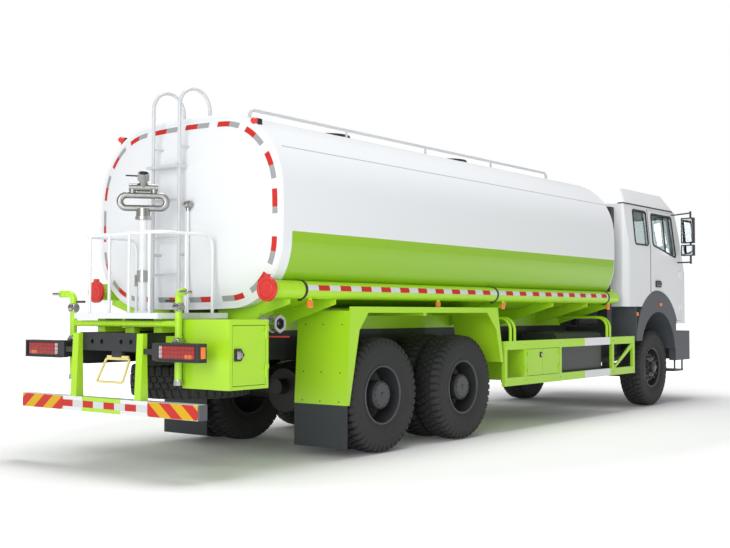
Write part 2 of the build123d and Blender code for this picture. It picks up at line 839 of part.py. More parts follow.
# Side cabinet on the right behind the guard, with two leaves between the guard's rails.
leaf_split = cabinet_rear + 441
with BuildPart() as side_cabinet:
    block(cabinet_rear, cabinet_front, guard_face, -620, 560, 1000)
    block(cabinet_rear + 20, cabinet_front - 20, guard_face + 20, -640, 580, 980, mode=Mode.SUBTRACT)
    block(
        cabinet_rear + 60,
        cabinet_front - 60,
        guard_face - 5,
        guard_face + 25,
        615,
        935,
        mode=Mode.SUBTRACT,
    )
    for x_arm in (cabinet_rear + 161, cabinet_front - 215):
        block(x_arm, x_arm + 60, -620, -rail_outer, 930, 990)
keep(side_cabinet, "side_cabinet")

leaf_y = -body_half_width
leaves = (("rear", leaf_rear_hinge, leaf_split - 3), ("front", leaf_front_hinge, leaf_split + 3))
for leaf, x_hinge, x_end in leaves:
    with BuildPart() as cabinet_leaf:
        block(min(x_hinge, x_end), max(x_hinge, x_end), leaf_y, leaf_y + 18, 620, 930)
        for z_hinge in leaf_hinges:
            block(
                min(x_hinge, x_hinge + (45 if leaf == "rear" else -45)),
                max(x_hinge, x_hinge + (45 if leaf == "rear" else -45)),
                leaf_y - 6,
                leaf_y,
                z_hinge,
                z_hinge + 50,
            )
            bar((x_hinge, hinge_y, z_hinge), (x_hinge, hinge_y, z_hinge + 50), 8)
    keep(cabinet_leaf, "cabinet_leaf_" + leaf)

# Fuel tank on each side behind the guards.
fuel_rear = cabinet_front + 45
fuel_front = guard_end - 880
with BuildPart() as fuel_tanks:
    block(fuel_rear, fuel_front, -body_half_width + 95, -640, 570, 1110)
    fillet(fuel_tanks.edges().filter_by(Axis.X), 70)
    for x_arm in (fuel_rear + 170, fuel_front - 260):
        block(x_arm, x_arm + 70, -645, -rail_outer, 930, 1000)
    mirror(about=Plane.XZ)
keep(fuel_tanks, "fuel_tanks")

# Air intake behind the cab, on a bracket off the right rail.
intake_x = cab_rear - 215
intake_y = -1000
with BuildPart() as air_intake:
    block(intake_x - 85, intake_x + 85, intake_y - 120, intake_y + 120, 2525, 2831)
    fillet(air_intake.edges().filter_by(Axis.Z), 40)
    bar((intake_x, intake_y, 1480), (intake_x, intake_y, 2530), 62)
    block(intake_x - 70, intake_x + 70, intake_y - 65, intake_y + 80, 1100, 1500)
    block(intake_x - 40, intake_x + 40, intake_y + 80, -rail_outer, 1100, 1170)
keep(air_intake, "air_intake")

# Front bumper with side returns, lamp pockets, entry steps and brackets to the rails.
with BuildPart() as front_bumper:
    block(x_front - 160, x_front, -bumper_half, bumper_half, 640, bumper_top)
    fillet(front_bumper.edges().filter_by(Axis.Z).group_by(Axis.X)[-1], 120)
    block(x_front_axle + 690, x_front - 150, -bumper_half, -bumper_half + 105, 640, bumper_top)
    block(x_front_axle + 720, x_front_axle + 1080, -bumper_half + 35, -bumper_half + 335, 470, 498)
    for x_strap in (x_front_axle + 740, x_front_axle + 1040):
        block(x_strap, x_strap + 24, -bumper_half + 35, -bumper_half + 55, 490, 660)
    block(rail_front, x_front - 150, -rail_outer, -rail_outer + rail_flange, 930, 1050)
    block(x_front - 35, x_front + 5, -lamp_outer, -lamp_inner, 780, 960, mode=Mode.SUBTRACT)
    block(x_front - 35, x_front + 5, lamp_inner, lamp_outer, 780, 960, mode=Mode.SUBTRACT)
    mirror(about=Plane.XZ)
keep(front_bumper, "front_bumper")

# Cab: hollow shell, with the door openings, windows and wheel arches cut out.
cab_skin = cab_form(0)
cab_room = cab_form(cab_wall)
cab_side_clear = cab_half_width + 60
door_depth = cab_half_width - cab_wall - tumblehome - 4
flare_gap = flare_radius + 1
with BuildPart() as cab_shell:
    add(cab_skin)
    add(cab_room, mode=Mode.SUBTRACT)
    block(cab_rear + 60, windscreen_top_x - 70, -1120, 1120, cab_eave - 120, cab_eave + 5, mode=Mode.SUBTRACT)
    block(
        cab_front - 500,
        cab_front + 20,
        -screen_half,
        screen_half,
        screen_sill,
        screen_top,
        mode=Mode.SUBTRACT,
    )
    add(prism(quarter_window, cab_side_clear, -cab_side_clear), mode=Mode.SUBTRACT)
    add(prism(door_outline, -door_depth, -cab_side_clear, door_gap), mode=Mode.SUBTRACT)
    add(prism(door_outline, cab_side_clear, door_depth, door_gap), mode=Mode.SUBTRACT)
    disc(x_front_axle, flare_z, flare_gap, -cab_half_width + cab_wall, -cab_side_clear, mode=Mode.SUBTRACT)
    disc(x_front_axle, flare_z, flare_gap, cab_side_clear, cab_half_width - cab_wall, mode=Mode.SUBTRACT)
    for y_lug in (-398, 370):
        block(tilt_x - 32, tilt_x + 32, y_lug, y_lug + 28, tilt_z - 32, cab_toe + 10)
        bar((tilt_x, y_lug - 5, tilt_z), (tilt_x, y_lug + 33, tilt_z), 18 + seat_gap, mode=Mode.SUBTRACT)
keep(cab_shell, "cab_shell")

with BuildPart() as glass_layer:
    add(cab_form(20))
    add(cab_form(26), mode=Mode.SUBTRACT)

with BuildPart() as windscreen_space:
    block(
        cab_front - 500,
        cab_front + 20,
        -screen_half + seat_gap,
        screen_half - seat_gap,
        screen_sill + seat_gap,
        screen_top - seat_gap,
    )
    add(prism(quarter_window, cab_side_clear, -cab_side_clear, -seat_gap))

with BuildPart() as cab_glass:
    add(glass_layer.part)
    add(windscreen_space.part, mode=Mode.INTERSECT)
keep(cab_glass, "cab_glass")

# Cab doors with their glass; the left ones mirror the right ones.
with BuildPart() as door_right:
    add(cab_skin)
    add(cab_room, mode=Mode.SUBTRACT)
    add(prism(door_outline, -door_depth, -cab_side_clear), mode=Mode.INTERSECT)
    disc(x_front_axle, flare_z, flare_radius + door_gap + 1, -1000, -cab_side_clear, mode=Mode.SUBTRACT)
    disc(
        x_front_axle,
        flare_z,
        flare_radius + door_relief,
        -1000,
        -cab_half_width + door_skin,
        mode=Mode.SUBTRACT,
    )
    block(
        cab_rear,
        door_hinge_x + 10,
        -cab_half_width + cab_wall,
        -1000,
        cab_toe,
        cab_toe + cab_wall + 1,
        mode=Mode.SUBTRACT,
    )
    add(prism(door_window, -1000, -cab_side_clear), mode=Mode.SUBTRACT)
    side_sheet(
        (
            (x_front_axle - 60, 1765),
            (x_front_axle + 100, 1765),
            (x_front_axle + 100, 1805),
            (x_front_axle - 60, 1805),
        ),
        -cab_half_width + 2,
        -cab_half_width - 22,
    )
    for z_hinge in (1400, 1900):
        bar((door_hinge_x, -door_hinge_y, z_hinge), (door_hinge_x, -door_hinge_y, z_hinge + 90), 9)
        block(
            door_hinge_x - 60,
            door_hinge_x,
            -cab_half_width - 12,
            -cab_half_width + 2,
            z_hinge,
            z_hinge + 90,
        )
keep(door_right, "door_right")

with BuildPart() as door_left:
    mirror(door_right.part, about=Plane.XZ)
keep(door_left, "door_left")

with BuildPart() as door_glass_right:
    add(glass_layer.part)
    add(prism(door_window, -1000, -cab_side_clear, -seat_gap), mode=Mode.INTERSECT)
keep(door_glass_right, "door_glass_right")

with BuildPart() as door_glass_left:
    mirror(door_glass_right.part, about=Plane.XZ)
keep(door_glass_left, "door_glass_left")

# Cab roof: a shallow raised cap on the eaves.
def roof_form(inset):
    """Raised roof volume, drawn in from the outer skin by the inset."""
    with BuildPart() as form:
        with BuildSketch(Plane.XY.offset(cab_eave - inset * 0.01)):
            with Locations(((cab_rear + windscreen_top_x) / 2, 0)):
                RectangleRounded(
                    windscreen_top_x - cab_rear - 2 * inset,
                    2 * (cab_half_width - tumblehome - inset),
                    100 - inset,
                )
        with BuildSketch(Plane.XY.offset(cab_eave + 240 - inset)):
            with Locations(((cab_rear + windscreen_top_x) / 2 - 20, 0)):
                RectangleRounded(
                    windscreen_top_x - cab_rear - 320 - 2 * inset,
                    2 * (cab_half_width - 190 - inset),
                    100 - inset,
                )
        loft()
    return form.part


with BuildPart() as cab_roof:
    add(roof_form(0))
    add(roof_form(40), mode=Mode.SUBTRACT)
    block(x_front_axle + 310, x_front_axle + 400, -330, 330, cab_eave + 238, cab_eave + 290)
keep(cab_roof, "cab_roof")

# Cab front trim: slatted grille and sun visor.
with BuildPart() as front_trim:
    block(cab_front, cab_front + 24, -720, 720, 1280, 1780)
    for z_slat in (1340, 1440, 1540, 1640):
        block(cab_front + 10, cab_front + 30, -680, 680, z_slat, z_slat + 60, mode=Mode.SUBTRACT)
    side_sheet(
        (
            (windscreen_top_x - 60, cab_eave + 130),
            (windscreen_top_x + 120, cab_eave + 10),
            (windscreen_top_x + 128, cab_eave + 22),
            (windscreen_top_x - 60, cab_eave + 146),
        ),
        1050,
        -1050,
    )
    for y_stay in (-900, 880):
        block(
            windscreen_top_x - 80,
            windscreen_top_x - 20,
            y_stay,
            y_stay + 20,
            cab_eave + 40,
            cab_eave + 125,
        )
    add(roof_form(0), mode=Mode.SUBTRACT)
keep(front_trim, "front_trim")

# Wheel-arch flares: outer plate, inner barrel and a rear splash panel, on the cab.
splash_x = x_front_axle - 785
with BuildPart() as arch_flares:
    disc(x_front_axle, flare_z, flare_radius, -cab_half_width + cab_wall, -cab_half_width - 10)
    block(x_front_axle - 900, splash_x, -cab_side_clear, -1000, 600, cab_floor - 60, mode=Mode.SUBTRACT)
    block(splash_x, splash_x + 14, -cab_half_width - 5, -700, 964, cab_floor)
    with BuildSketch(side_plane(-760)):
        with Locations((x_front_axle, arch_z)):
            Circle(arch_radius + 12)
    extrude(amount=cab_half_width - cab_wall - 760)
    disc(x_front_axle, arch_z, arch_radius, -600, -1400, mode=Mode.SUBTRACT)
    block(x_front_axle - 900, x_front_axle, -1400, -600, 0, 964, mode=Mode.SUBTRACT)
    block(x_front_axle, x_front_axle + 900, -1400, -600, 0, 820, mode=Mode.SUBTRACT)
    block(x_front_axle + 682, x_front_axle + 900, -1400, -600, 0, 1240, mode=Mode.SUBTRACT)
    mirror(about=Plane.XZ)
keep(arch_flares, "arch_flares")

# Mirrors on the doors: two arms, an upright rod, a main head and a wide-angle head.
mirror_x = x_front_axle + 785
mirror_y = -cab_half_width - 210
mirror_foot = cab_eave - 770
mirror_heads = ((99, 267), (291, 679))
with BuildPart() as mirror_right:
    bar(
        (x_front_axle + 690, -cab_half_width + 60, cab_eave - 50),
        (mirror_x, mirror_y, cab_eave - 20),
        11,
    )
    bar(
        (x_front_axle + 800, -cab_half_width + 25, mirror_foot),
        (mirror_x, mirror_y, mirror_foot),
        11,
    )
    bar((mirror_x, mirror_y, mirror_foot - 24), (mirror_x, mirror_y, cab_eave + 6), 15)
    for low, high in mirror_heads:
        block(
            mirror_x - 30,
            mirror_x + 50,
            mirror_y - 50,
            mirror_y + 140,
            mirror_foot + low,
            mirror_foot + high,
        )
    add(door_right.part, mode=Mode.SUBTRACT)
keep(mirror_right, "mirror_right")

with BuildPart() as mirror_left:
    mirror(mirror_right.part, about=Plane.XZ)
keep(mirror_left, "mirror_left")

# Seats and dashboard with the steering wheel on the left.
seat_x = x_front_axle + 60
with BuildPart() as seats:
    for y_seat in (-600, 600):
        block(seat_x - 260, seat_x + 240, y_seat - 200, y_seat + 200, cab_floor + cab_wall, 1760)
        block(seat_x - 270, seat_x + 270, y_seat - 260, y_seat + 260, 1740, 1890)
        side_sheet(
            (
                (seat_x - 270, 1860),
                (seat_x - 140, 1880),
                (seat_x - 230, cab_eave - 380),
                (seat_x - 340, cab_eave - 400),
            ),
            y_seat + 240,
            y_seat - 240,
        )
        block(seat_x - 350, seat_x - 250, y_seat - 130, y_seat + 130, cab_eave - 420, cab_eave - 240)
keep(seats, "seats")

with BuildPart() as dashboard:
    block(cab_front - 430, cab_front - 110, -1040, 1040, cab_waist - 270, cab_waist + 30)
    fillet(dashboard.edges().filter_by(Axis.Y).group_by(Axis.X)[0], 60)
    block(cab_front - 300, cab_front - cab_wall, -600, 600, cab_toe + cab_wall, cab_waist - 260)
    bar((cab_front - 400, 600, cab_waist - 70), (cab_front - 560, 600, cab_waist + 100), 26)
    with BuildSketch(Plane(origin=(cab_front - 560, 600, cab_waist + 100), z_dir=(-180, 0, 190))):
        Circle(230)
        Circle(200, mode=Mode.SUBTRACT)
        Rectangle(420, 36)
        Circle(60)
    extrude(amount=26)
keep(dashboard, "dashboard")

# Steering knuckles: fork round the beam eye, kingpin, wheel spindle and track-rod arm.
rod_x = x_front_axle - steer_arm
for name, side in (("right", -1), ("left", 1)):
    y_pin = side * kingpin_y
    y_plate = side * (kingpin_y + 62)
    y_face = side * (kingpin_y + 98)
    y_bore = side * (front_wheel_y + 95)
    with BuildPart() as knuckle:
        for z_low, z_high in ((436, 484.7), (639.3, 688)):
            bar((x_front_axle, y_pin, z_low), (x_front_axle, y_pin, z_high), 50)
            block(
                x_front_axle - 50,
                x_front_axle + 50,
                min(y_pin, y_face),
                max(y_pin, y_face),
                z_low,
                z_high,
            )
        block(x_front_axle - 50, x_front_axle + 50, min(y_plate, y_face), max(y_plate, y_face), 436, 688)
        bar((x_front_axle, y_pin, 440), (x_front_axle, y_pin, 684), kingpin_radius)
        bar((x_front_axle, y_face, tyre_radius), (x_front_axle, y_bore, tyre_radius), 48)
        block(rod_x - 28, x_front_axle, y_pin - 24, y_pin + 24, 456, 484)
        bar((rod_x, y_pin, track_rod_z - 26), (rod_x, y_pin, 484), 15)
    keep(knuckle, "knuckle_" + name)

with BuildPart() as tie_rod:
    bar((rod_x, -kingpin_y, track_rod_z), (rod_x, kingpin_y, track_rod_z), 17)
    for y_eye in (-kingpin_y, kingpin_y):
        bar((rod_x, y_eye, track_rod_z - 18), (rod_x, y_eye, track_rod_z + 17), 30)
        bar(
            (rod_x, y_eye, track_rod_z - 40),
            (rod_x, y_eye, track_rod_z + 40),
            15 + seat_gap,
            mode=Mode.SUBTRACT,
        )
keep(tie_rod, "tie_rod")

# Tyre and rim sections as (radius, distance from the wheel's middle plane), outboard positive.
tyre_outline = (
    (rim_radius + seat_gap, -120),
    (rim_radius + 40, -146),
    (430, -tyre_half_width),
    (530, -140),
    (tyre_radius, -105),
    (tyre_radius, 105),
    (530, 140),
    (430, tyre_half_width),
    (rim_radius + 40, 146),
    (rim_radius + seat_gap, 120),
)
rim_inner = rim_radius - rim_wall
rim_band = (
    (rim_inner, -rim_half_width),
    (rim_radius, -rim_half_width),
    (rim_radius, rim_half_width),
    (rim_inner, rim_half_width),
)
front_disc = (
    (rim_inner + 2, 20),
    (rim_inner + 2, 36),
    (225, 80),
    (hub_radius + 30, 112),
    (hub_radius - 10, 112),
    (hub_radius - 10, 96),
    (hub_radius + 24, 96),
    (218, 66),
)


def turned(outline):
    """Solid turned about the Y axis from a (radius, Y) outline."""
    with BuildPart() as form:
        with BuildSketch(Plane.XY):
            with BuildLine():
                Polyline(*outline, close=True)
            make_face()
        revolve(axis=Axis.Y)
    return form.part


tyre_form = turned(tyre_outline)
band_form = turned(rim_band)
front_hub = turned(
    (
        (48 + seat_gap, -30),
        (110, -30),
        (hub_radius, 60),
        (hub_radius, 118),
        (85, 118),
        (80, 165),
        (0, 165),
        (0, 100),
        (48 + seat_gap, 100),
    )
)
hand_holes = 10
hand_hole_ring = 206
hand_hole_radius = 25
with BuildPart() as front_wheel_form:
    add(band_form)
    add(turned(front_disc))
    for count in range(hand_holes):
        spoke = Vector(hand_hole_ring, 0, 0).rotate(Axis.Y, (count + 0.5) * 360 / hand_holes)
        bar((spoke.X, 0, spoke.Z), (spoke.X, 130, spoke.Z), hand_hole_radius, mode=Mode.SUBTRACT)
    add(front_hub)

dual_disc_half = 14
with BuildPart() as dual_wheel_form:
    with Locations((0, -dual_half_gap, 0), (0, dual_half_gap, 0)):
        add(band_form)
    for side in (-1, 1):
        add(
            turned(
                (
                    (hub_radius - 10, 0),
                    (200, 0),
                    (rim_inner + 2, side * (dual_half_gap - rim_half_width + 20)),
                    (rim_inner + 2, side * (dual_half_gap - rim_half_width + 40)),
                    (200, side * dual_disc_half),
                    (hub_radius - 10, side * dual_disc_half),
                )
            )
        )
    add(
        turned(
            (
                (spindle_radius + seat_gap, -230),
                (hub_radius - 25, -230),
                (hub_radius, -120),
                (hub_radius, rear_hub_face - 20),
                (hub_radius - 20, rear_hub_face),
                (0, rear_hub_face),
                (0, 240),
                (spindle_radius + seat_gap, 240),
            )
        )
    )

front_wheels = (("front_right", -1), ("front_left", 1))
rear_wheels = (
    ("mid_right", -1, x_mid_axle),
    ("mid_left", 1, x_mid_axle),
    ("rear_right", -1, x_rear_axle),
    ("rear_left", 1, x_rear_axle),
)
for name, side in front_wheels:
    turn = (0, 0, 0) if side > 0 else (0, 0, 180)
    with BuildPart() as tyre:
        with Locations(Location((x_front_axle, side * front_wheel_y, tyre_radius), turn)):
            add(tyre_form)
    keep(tyre, "tyre_" + name)
    with BuildPart() as rim:
        with Locations(Location((x_front_axle, side * front_wheel_y, tyre_radius), turn)):
            add(front_wheel_form.part)
    keep(rim, "rim_" + name)

for name, side, x_axle in rear_wheels:
    turn = (0, 0, 0) if side > 0 else (0, 0, 180)
    with BuildPart() as tyre:
        for offset_y in (-dual_half_gap, dual_half_gap):
            with Locations((x_axle, side * dual_y + offset_y, tyre_radius)):
                add(tyre_form)
    keep(tyre, "tyres_" + name)
    with BuildPart() as rim:
        with Locations(Location((x_axle, side * dual_y, tyre_radius), turn)):
            add(dual_wheel_form.part)
    keep(rim, "rims_" + name)

# Spare wheel lying flat under the frame, hung by a plate and a post from a crossmember.
spare_z = rail_bottom - spare_drop
plate_z = spare_z + 96
with BuildPart() as spare_wheel:
    with Locations(Location((spare_x, 0, spare_z), (90, 0, 0))):
        add(tyre_form)
        add(band_form)
        add(turned(front_disc))
    bar((spare_x, 0, plate_z - 14), (spare_x, 0, plate_z), hub_radius + 24)
    bar((spare_x, 0, plate_z - 14), (spare_x, 0, member_bottom), 22)
keep(spare_wheel, "spare_wheel")
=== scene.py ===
# %% [markdown]
# # Dressing a water tanker truck
# The CAD model gives the truck its true sizes, its moving bodies and its plain solids. This lesson
# adds what makes it look real: paint, tape, tread, lamps and trim. Everything is in metres, +X
# forward, +Y to the truck's left, +Z up.

# %% Load the frame
import math

import bmesh
import bpy
import numpy as np
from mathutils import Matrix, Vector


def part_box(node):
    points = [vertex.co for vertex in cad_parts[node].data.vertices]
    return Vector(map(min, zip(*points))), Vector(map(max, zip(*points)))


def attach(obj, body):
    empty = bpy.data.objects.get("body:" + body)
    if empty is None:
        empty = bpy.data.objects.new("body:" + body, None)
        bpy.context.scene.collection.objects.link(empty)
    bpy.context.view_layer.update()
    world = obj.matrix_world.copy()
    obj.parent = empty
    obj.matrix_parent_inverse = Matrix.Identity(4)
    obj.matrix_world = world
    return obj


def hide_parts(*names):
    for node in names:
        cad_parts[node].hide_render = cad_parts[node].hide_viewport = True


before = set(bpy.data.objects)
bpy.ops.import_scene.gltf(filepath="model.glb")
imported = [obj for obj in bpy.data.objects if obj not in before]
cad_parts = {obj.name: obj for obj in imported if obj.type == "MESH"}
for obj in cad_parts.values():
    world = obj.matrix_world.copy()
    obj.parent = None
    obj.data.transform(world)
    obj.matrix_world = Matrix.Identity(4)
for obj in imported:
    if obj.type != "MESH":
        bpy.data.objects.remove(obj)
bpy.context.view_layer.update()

# %% [markdown]
# ## The camera first
# The photograph was taken from low behind the right rear corner. Its place, heading and lens came
# from matching known points of the truck, so the render and the photograph can be laid side by side.
# A camera looks along its own -Z.

# %% Camera
camera_place = (-11.213, -7.451, 1.361)
camera_heading = math.radians(37.65)
camera_pitch = math.radians(2.08)
camera_lens = 52.76
camera = bpy.data.objects.new("camera", bpy.data.cameras.new("camera"))
camera.location = camera_place
camera.rotation_euler = (math.pi / 2 + camera_pitch, 0, camera_heading - math.pi / 2)
camera.data.sensor_width = 36
camera.data.lens = camera_lens
camera.data.clip_end = 200
bpy.context.scene.collection.objects.link(camera)
bpy.context.scene.camera = camera
print("camera at", camera_place)

# %% [markdown]
# ## Surfaces from arrays
# Every new piece is a grid of points: rows follow one parameter, columns the other. One function
# turns a grid into quad faces, so a shape is only a formula for its points. A pair (points, faces) is
# called a surface here.


# %% Grid, joining and copying
def quads(rows, columns, wrap_rows=False, wrap_columns=False):
    """Faces of a grid: each cell joins a point, its row neighbour and the two points of the next row."""
    row = np.arange(rows if wrap_rows else rows - 1)
    column = np.arange(columns if wrap_columns else columns - 1)
    row, column = np.meshgrid(row, column, indexing="ij")
    row, column = row.ravel(), column.ravel()
    next_row, next_column = (row + 1) % rows, (column + 1) % columns
    corners = [(row, column), (row, next_column), (next_row, next_column), (next_row, column)]
    return np.stack([r * columns + c for r, c in corners], axis=1)


def joined(*surfaces):
    """One surface of several: points are stacked, faces are shifted by the points before them."""
    starts = np.cumsum([0] + [len(points) for points, faces in surfaces])
    points = np.concatenate([points for points, faces in surfaces])
    faces = np.concatenate([faces + start for (_, faces), start in zip(surfaces, starts)])
    return points, faces


def copies(surface, offsets):
    """The surface repeated at each offset: all points plus all offsets in one sum."""
    points, faces = surface
    offsets = np.asarray(offsets, float).reshape(-1, 3)
    spread = (points[None] + offsets[:, None]).reshape(-1, 3)
    shifts = np.arange(len(offsets)) * len(points)
    return spread, (faces[None] + shifts[:, None, None]).reshape(-1, 4)


def mirrored(surface):
    """The surface on the truck's other side: Y changes its sign."""
    points, faces = surface
    return points * (1, -1, 1), faces


def both_sides(surface):
    """The surface and its mirror image."""
    return joined(surface, mirrored(surface))


# %% Basic forms
def unit(vector):
    """The vector divided by its length."""
    vector = np.asarray(vector, float)
    return vector / np.linalg.norm(vector, axis=-1, keepdims=True)


def rounded_box(low, high, edge=0.22, rows=13, columns=24):
    """Superellipsoid: cosines and sines of two angles to a small power, for flat sides and round edges."""
    tilt = np.linspace(-np.pi / 2, np.pi / 2, rows)[:, None]
    turn = np.linspace(0, 2 * np.pi, columns, endpoint=False)[None]
    power = lambda wave: np.sign(wave) * np.abs(wave) ** edge
    x = power(np.cos(tilt)) * power(np.cos(turn))
    y = power(np.cos(tilt)) * power(np.sin(turn))
    z = power(np.sin(tilt)) * np.ones_like(turn)
    low, high = np.asarray(low, float), np.asarray(high, float)
    points = np.stack([x, y, z], axis=-1).reshape(-1, 3) * (high - low) / 2 + (low + high) / 2
    return points, quads(rows, columns, wrap_columns=True)


def turned(profile, centre, axis, sides=28):
    """Surface of revolution: each (radius, height) pair swings round the axis through the centre."""
    profile = np.asarray(profile, float)
    axis = unit(axis)
    aside = (0.31, 0.87, 0.42) if abs(axis[1]) < 0.9 else (1, 0, 0)
    side = unit(np.cross(axis, aside))
    angle = np.linspace(0, 2 * np.pi, sides, endpoint=False)[:, None]
    ring = np.cos(angle) * side + np.sin(angle) * np.cross(axis, side)
    points = np.asarray(centre) + profile[:, :1, None] * ring[None] + profile[:, 1:, None] * axis
    return points.reshape(-1, 3), quads(len(profile), sides, wrap_columns=True)


def tube(path, radius, up, sides=10, closed=False):
    """A circle carried along a path, square to the path's direction, with one radius turned from up."""
    path = np.asarray(path, float)
    if closed:
        along = unit(np.roll(path, -1, axis=0) - np.roll(path, 1, axis=0))
    else:
        along = unit(np.gradient(path, axis=0))
    across = unit(np.cross(along, up))
    lift = np.cross(across, along)
    angle = np.linspace(0, 2 * np.pi, sides, endpoint=False)[None, :, None]
    rings = path[:, None] + radius * (np.cos(angle) * across[:, None] + np.sin(angle) * lift[:, None])
    if not closed:
        ends = np.broadcast_to(path[[0, -1]][:, None], (2, sides, 3))
        rings = np.concatenate([ends[:1], rings, ends[1:]])
    return rings.reshape(-1, 3), quads(len(rings), sides, wrap_rows=closed, wrap_columns=True)


def rounded_route(corners, bend, steps=6, closed=False):
    """Straight runs; at each corner a quadratic curve leaves and joins them at the bend length."""
    corners = np.asarray(corners, float)
    before, after = np.roll(corners, 1, axis=0), np.roll(corners, -1, axis=0)
    share = np.linspace(0, 1, steps)[None, :, None]
    start = corners + unit(before - corners) * bend
    end = corners + unit(after - corners) * bend
    curve = start[:, None] * (1 - share) ** 2
    curve = curve + corners[:, None] * 2 * share * (1 - share) + end[:, None] * share**2
    if closed:
        return curve.reshape(-1, 3)
    return np.concatenate([corners[:1], curve[1:-1].reshape(-1, 3), corners[-1:]])


# %% From a surface to a piece
smooth_angle = math.radians(38)
added_triangles = 0


def piece(name, surface, material, body):
    """Makes a mesh of a surface, closes its seams, turns its faces outwards and rides it on a body."""
    global added_triangles
    points, faces = surface
    mesh = bpy.data.meshes.new(name)
    mesh.from_pydata(points.tolist(), [], faces.tolist())
    work = bmesh.new()
    work.from_mesh(mesh)
    bmesh.ops.remove_doubles(work, verts=work.verts, dist=1e-5)
    bmesh.ops.recalc_face_normals(work, faces=work.faces)
    work.to_mesh(mesh)
    work.free()
    mesh.shade_smooth()
    mesh.set_sharp_from_angle(angle=smooth_angle)
    mesh.materials.append(material)
    made = bpy.data.objects.new(name, mesh)
    bpy.context.scene.collection.objects.link(made)
    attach(made, body)
    added_triangles += sum(len(face.vertices) - 2 for face in mesh.polygons)
    return made


print("helpers ready")

# %% [markdown]
# ## Finishes
# A finish is a small node tree. All of them read Object coordinates, which are the truck's own metres
# here, so a pattern has its true scale, stays on its piece when the piece moves, and colours can
# change at a real height or length.


# %% Node helpers
def new_finish(name):
    """An empty node material with its shader and its Object coordinates."""
    material = bpy.data.materials.new(name)
    material.use_nodes = True
    tree = material.node_tree
    place = tree.nodes.new("ShaderNodeTexCoord").outputs["Object"]
    return material, tree, tree.nodes["Principled BSDF"], place


def wire(tree, value, socket):
    """Links an output to a socket, or writes a plain value on it."""
    if isinstance(value, bpy.types.NodeSocket):
        tree.links.new(value, socket)
    else:
        socket.default_value = value


def math_node(tree, operation, first, second=0.0, third=0.0):
    """One arithmetic step."""
    node = tree.nodes.new("ShaderNodeMath")
    node.operation = operation
    for value, socket in zip((first, second, third), node.inputs):
        wire(tree, value, socket)
    return node.outputs[0]


def axes(tree, place):
    """X, Y and Z of a coordinate."""
    node = tree.nodes.new("ShaderNodeSeparateXYZ")
    tree.links.new(place, node.inputs[0])
    return node.outputs


def inside(tree, value, low, high):
    """1 where the value lies between two limits, else 0."""
    return math_node(tree, "COMPARE", value, (low + high) / 2, (high - low) / 2)


def above(tree, value, limit):
    """1 where the value is over a limit."""
    return math_node(tree, "GREATER_THAN", value, limit)


def below(tree, value, limit):
    """1 where the value is under a limit."""
    return math_node(tree, "LESS_THAN", value, limit)


def unsigned(tree, value):
    """The value without its sign, so that both sides of the truck look alike."""
    return math_node(tree, "ABSOLUTE", value)


def wave(tree, value, length):
    """A sine of the value that repeats after a length."""
    return math_node(tree, "SINE", math_node(tree, "MULTIPLY", value, 2 * math.pi / length))


def both(tree, first, second):
    """1 where both masks are 1."""
    return math_node(tree, "MULTIPLY", first, second)


def either(tree, first, second):
    """1 where either mask is 1."""
    return math_node(tree, "MAXIMUM", first, second)


def cloud(tree, place, scale, detail=4.0):
    """Soft noise from 0 to 1."""
    node = tree.nodes.new("ShaderNodeTexNoise")
    node.inputs["Scale"].default_value = scale
    node.inputs["Detail"].default_value = detail
    tree.links.new(place, node.inputs["Vector"])
    return node.outputs["Fac"]


def span(tree, value, low, high, to_low, to_high):
    """The value stretched from one range to another, held at its ends."""
    node = tree.nodes.new("ShaderNodeMapRange")
    tree.links.new(value, node.inputs["Value"])
    for name, number in (("From Min", low), ("From Max", high), ("To Min", to_low), ("To Max", to_high)):
        node.inputs[name].default_value = number
    return node.outputs["Result"]


def tinted(tree, mask, first, second):
    """The first colour where the mask is 0, the second where it is 1."""
    node = tree.nodes.new("ShaderNodeMix")
    node.data_type = "RGBA"
    wire(tree, mask, node.inputs[0])
    for colour, socket in ((first, node.inputs[6]), (second, node.inputs[7])):
        wire(tree, colour if isinstance(colour, bpy.types.NodeSocket) else (*colour, 1), socket)
    return node.outputs[2]


def coat_with(tree, shader, colour, roughness):
    """Puts a colour and a roughness on the shader."""
    wire(tree, colour, shader.inputs["Base Color"])
    wire(tree, roughness, shader.inputs["Roughness"])


def relief(tree, shader, height, strength, distance):
    """Bump from a height."""
    node = tree.nodes.new("ShaderNodeBump")
    node.inputs["Strength"].default_value = strength
    node.inputs["Distance"].default_value = distance
    tree.links.new(height, node.inputs["Height"])
    tree.links.new(node.outputs["Normal"], shader.inputs["Normal"])


# %% [markdown]
# ### Colours
# Colours are linear values, set by laying renders beside the photograph. The barrel carries a darker copy
# of the side guard's lime as painted shade, so the truck has two limes.

# %% Colours of the truck
lime = (0.42, 0.75, 0.022)
# painted shade: the side guard's lime made darker for the barrel
barrel_lime_painted_shade = (0.265, 0.51, 0.008)
white = (0.78, 0.80, 0.82)
tape_red = (0.60, 0.030, 0.022)
tape_silver = (0.36, 0.37, 0.38)
hazard_yellow = (0.72, 0.42, 0.010)
amber = (0.90, 0.22, 0.02)
dark_plastic = (0.075, 0.083, 0.095)
black = (0.018, 0.018, 0.020)
steel = (0.46, 0.46, 0.45)
road_dust = (0.30, 0.28, 0.25)
print("lime", lime, "white", white)


# %% [markdown]
# ### Paint
# Factory paint is never one flat value: the tone drifts a little over a panel, the film has a faint
# orange-peel ripple, and the lowest parts carry road dust. A clear coat over the colour gives the
# sharp highlight.


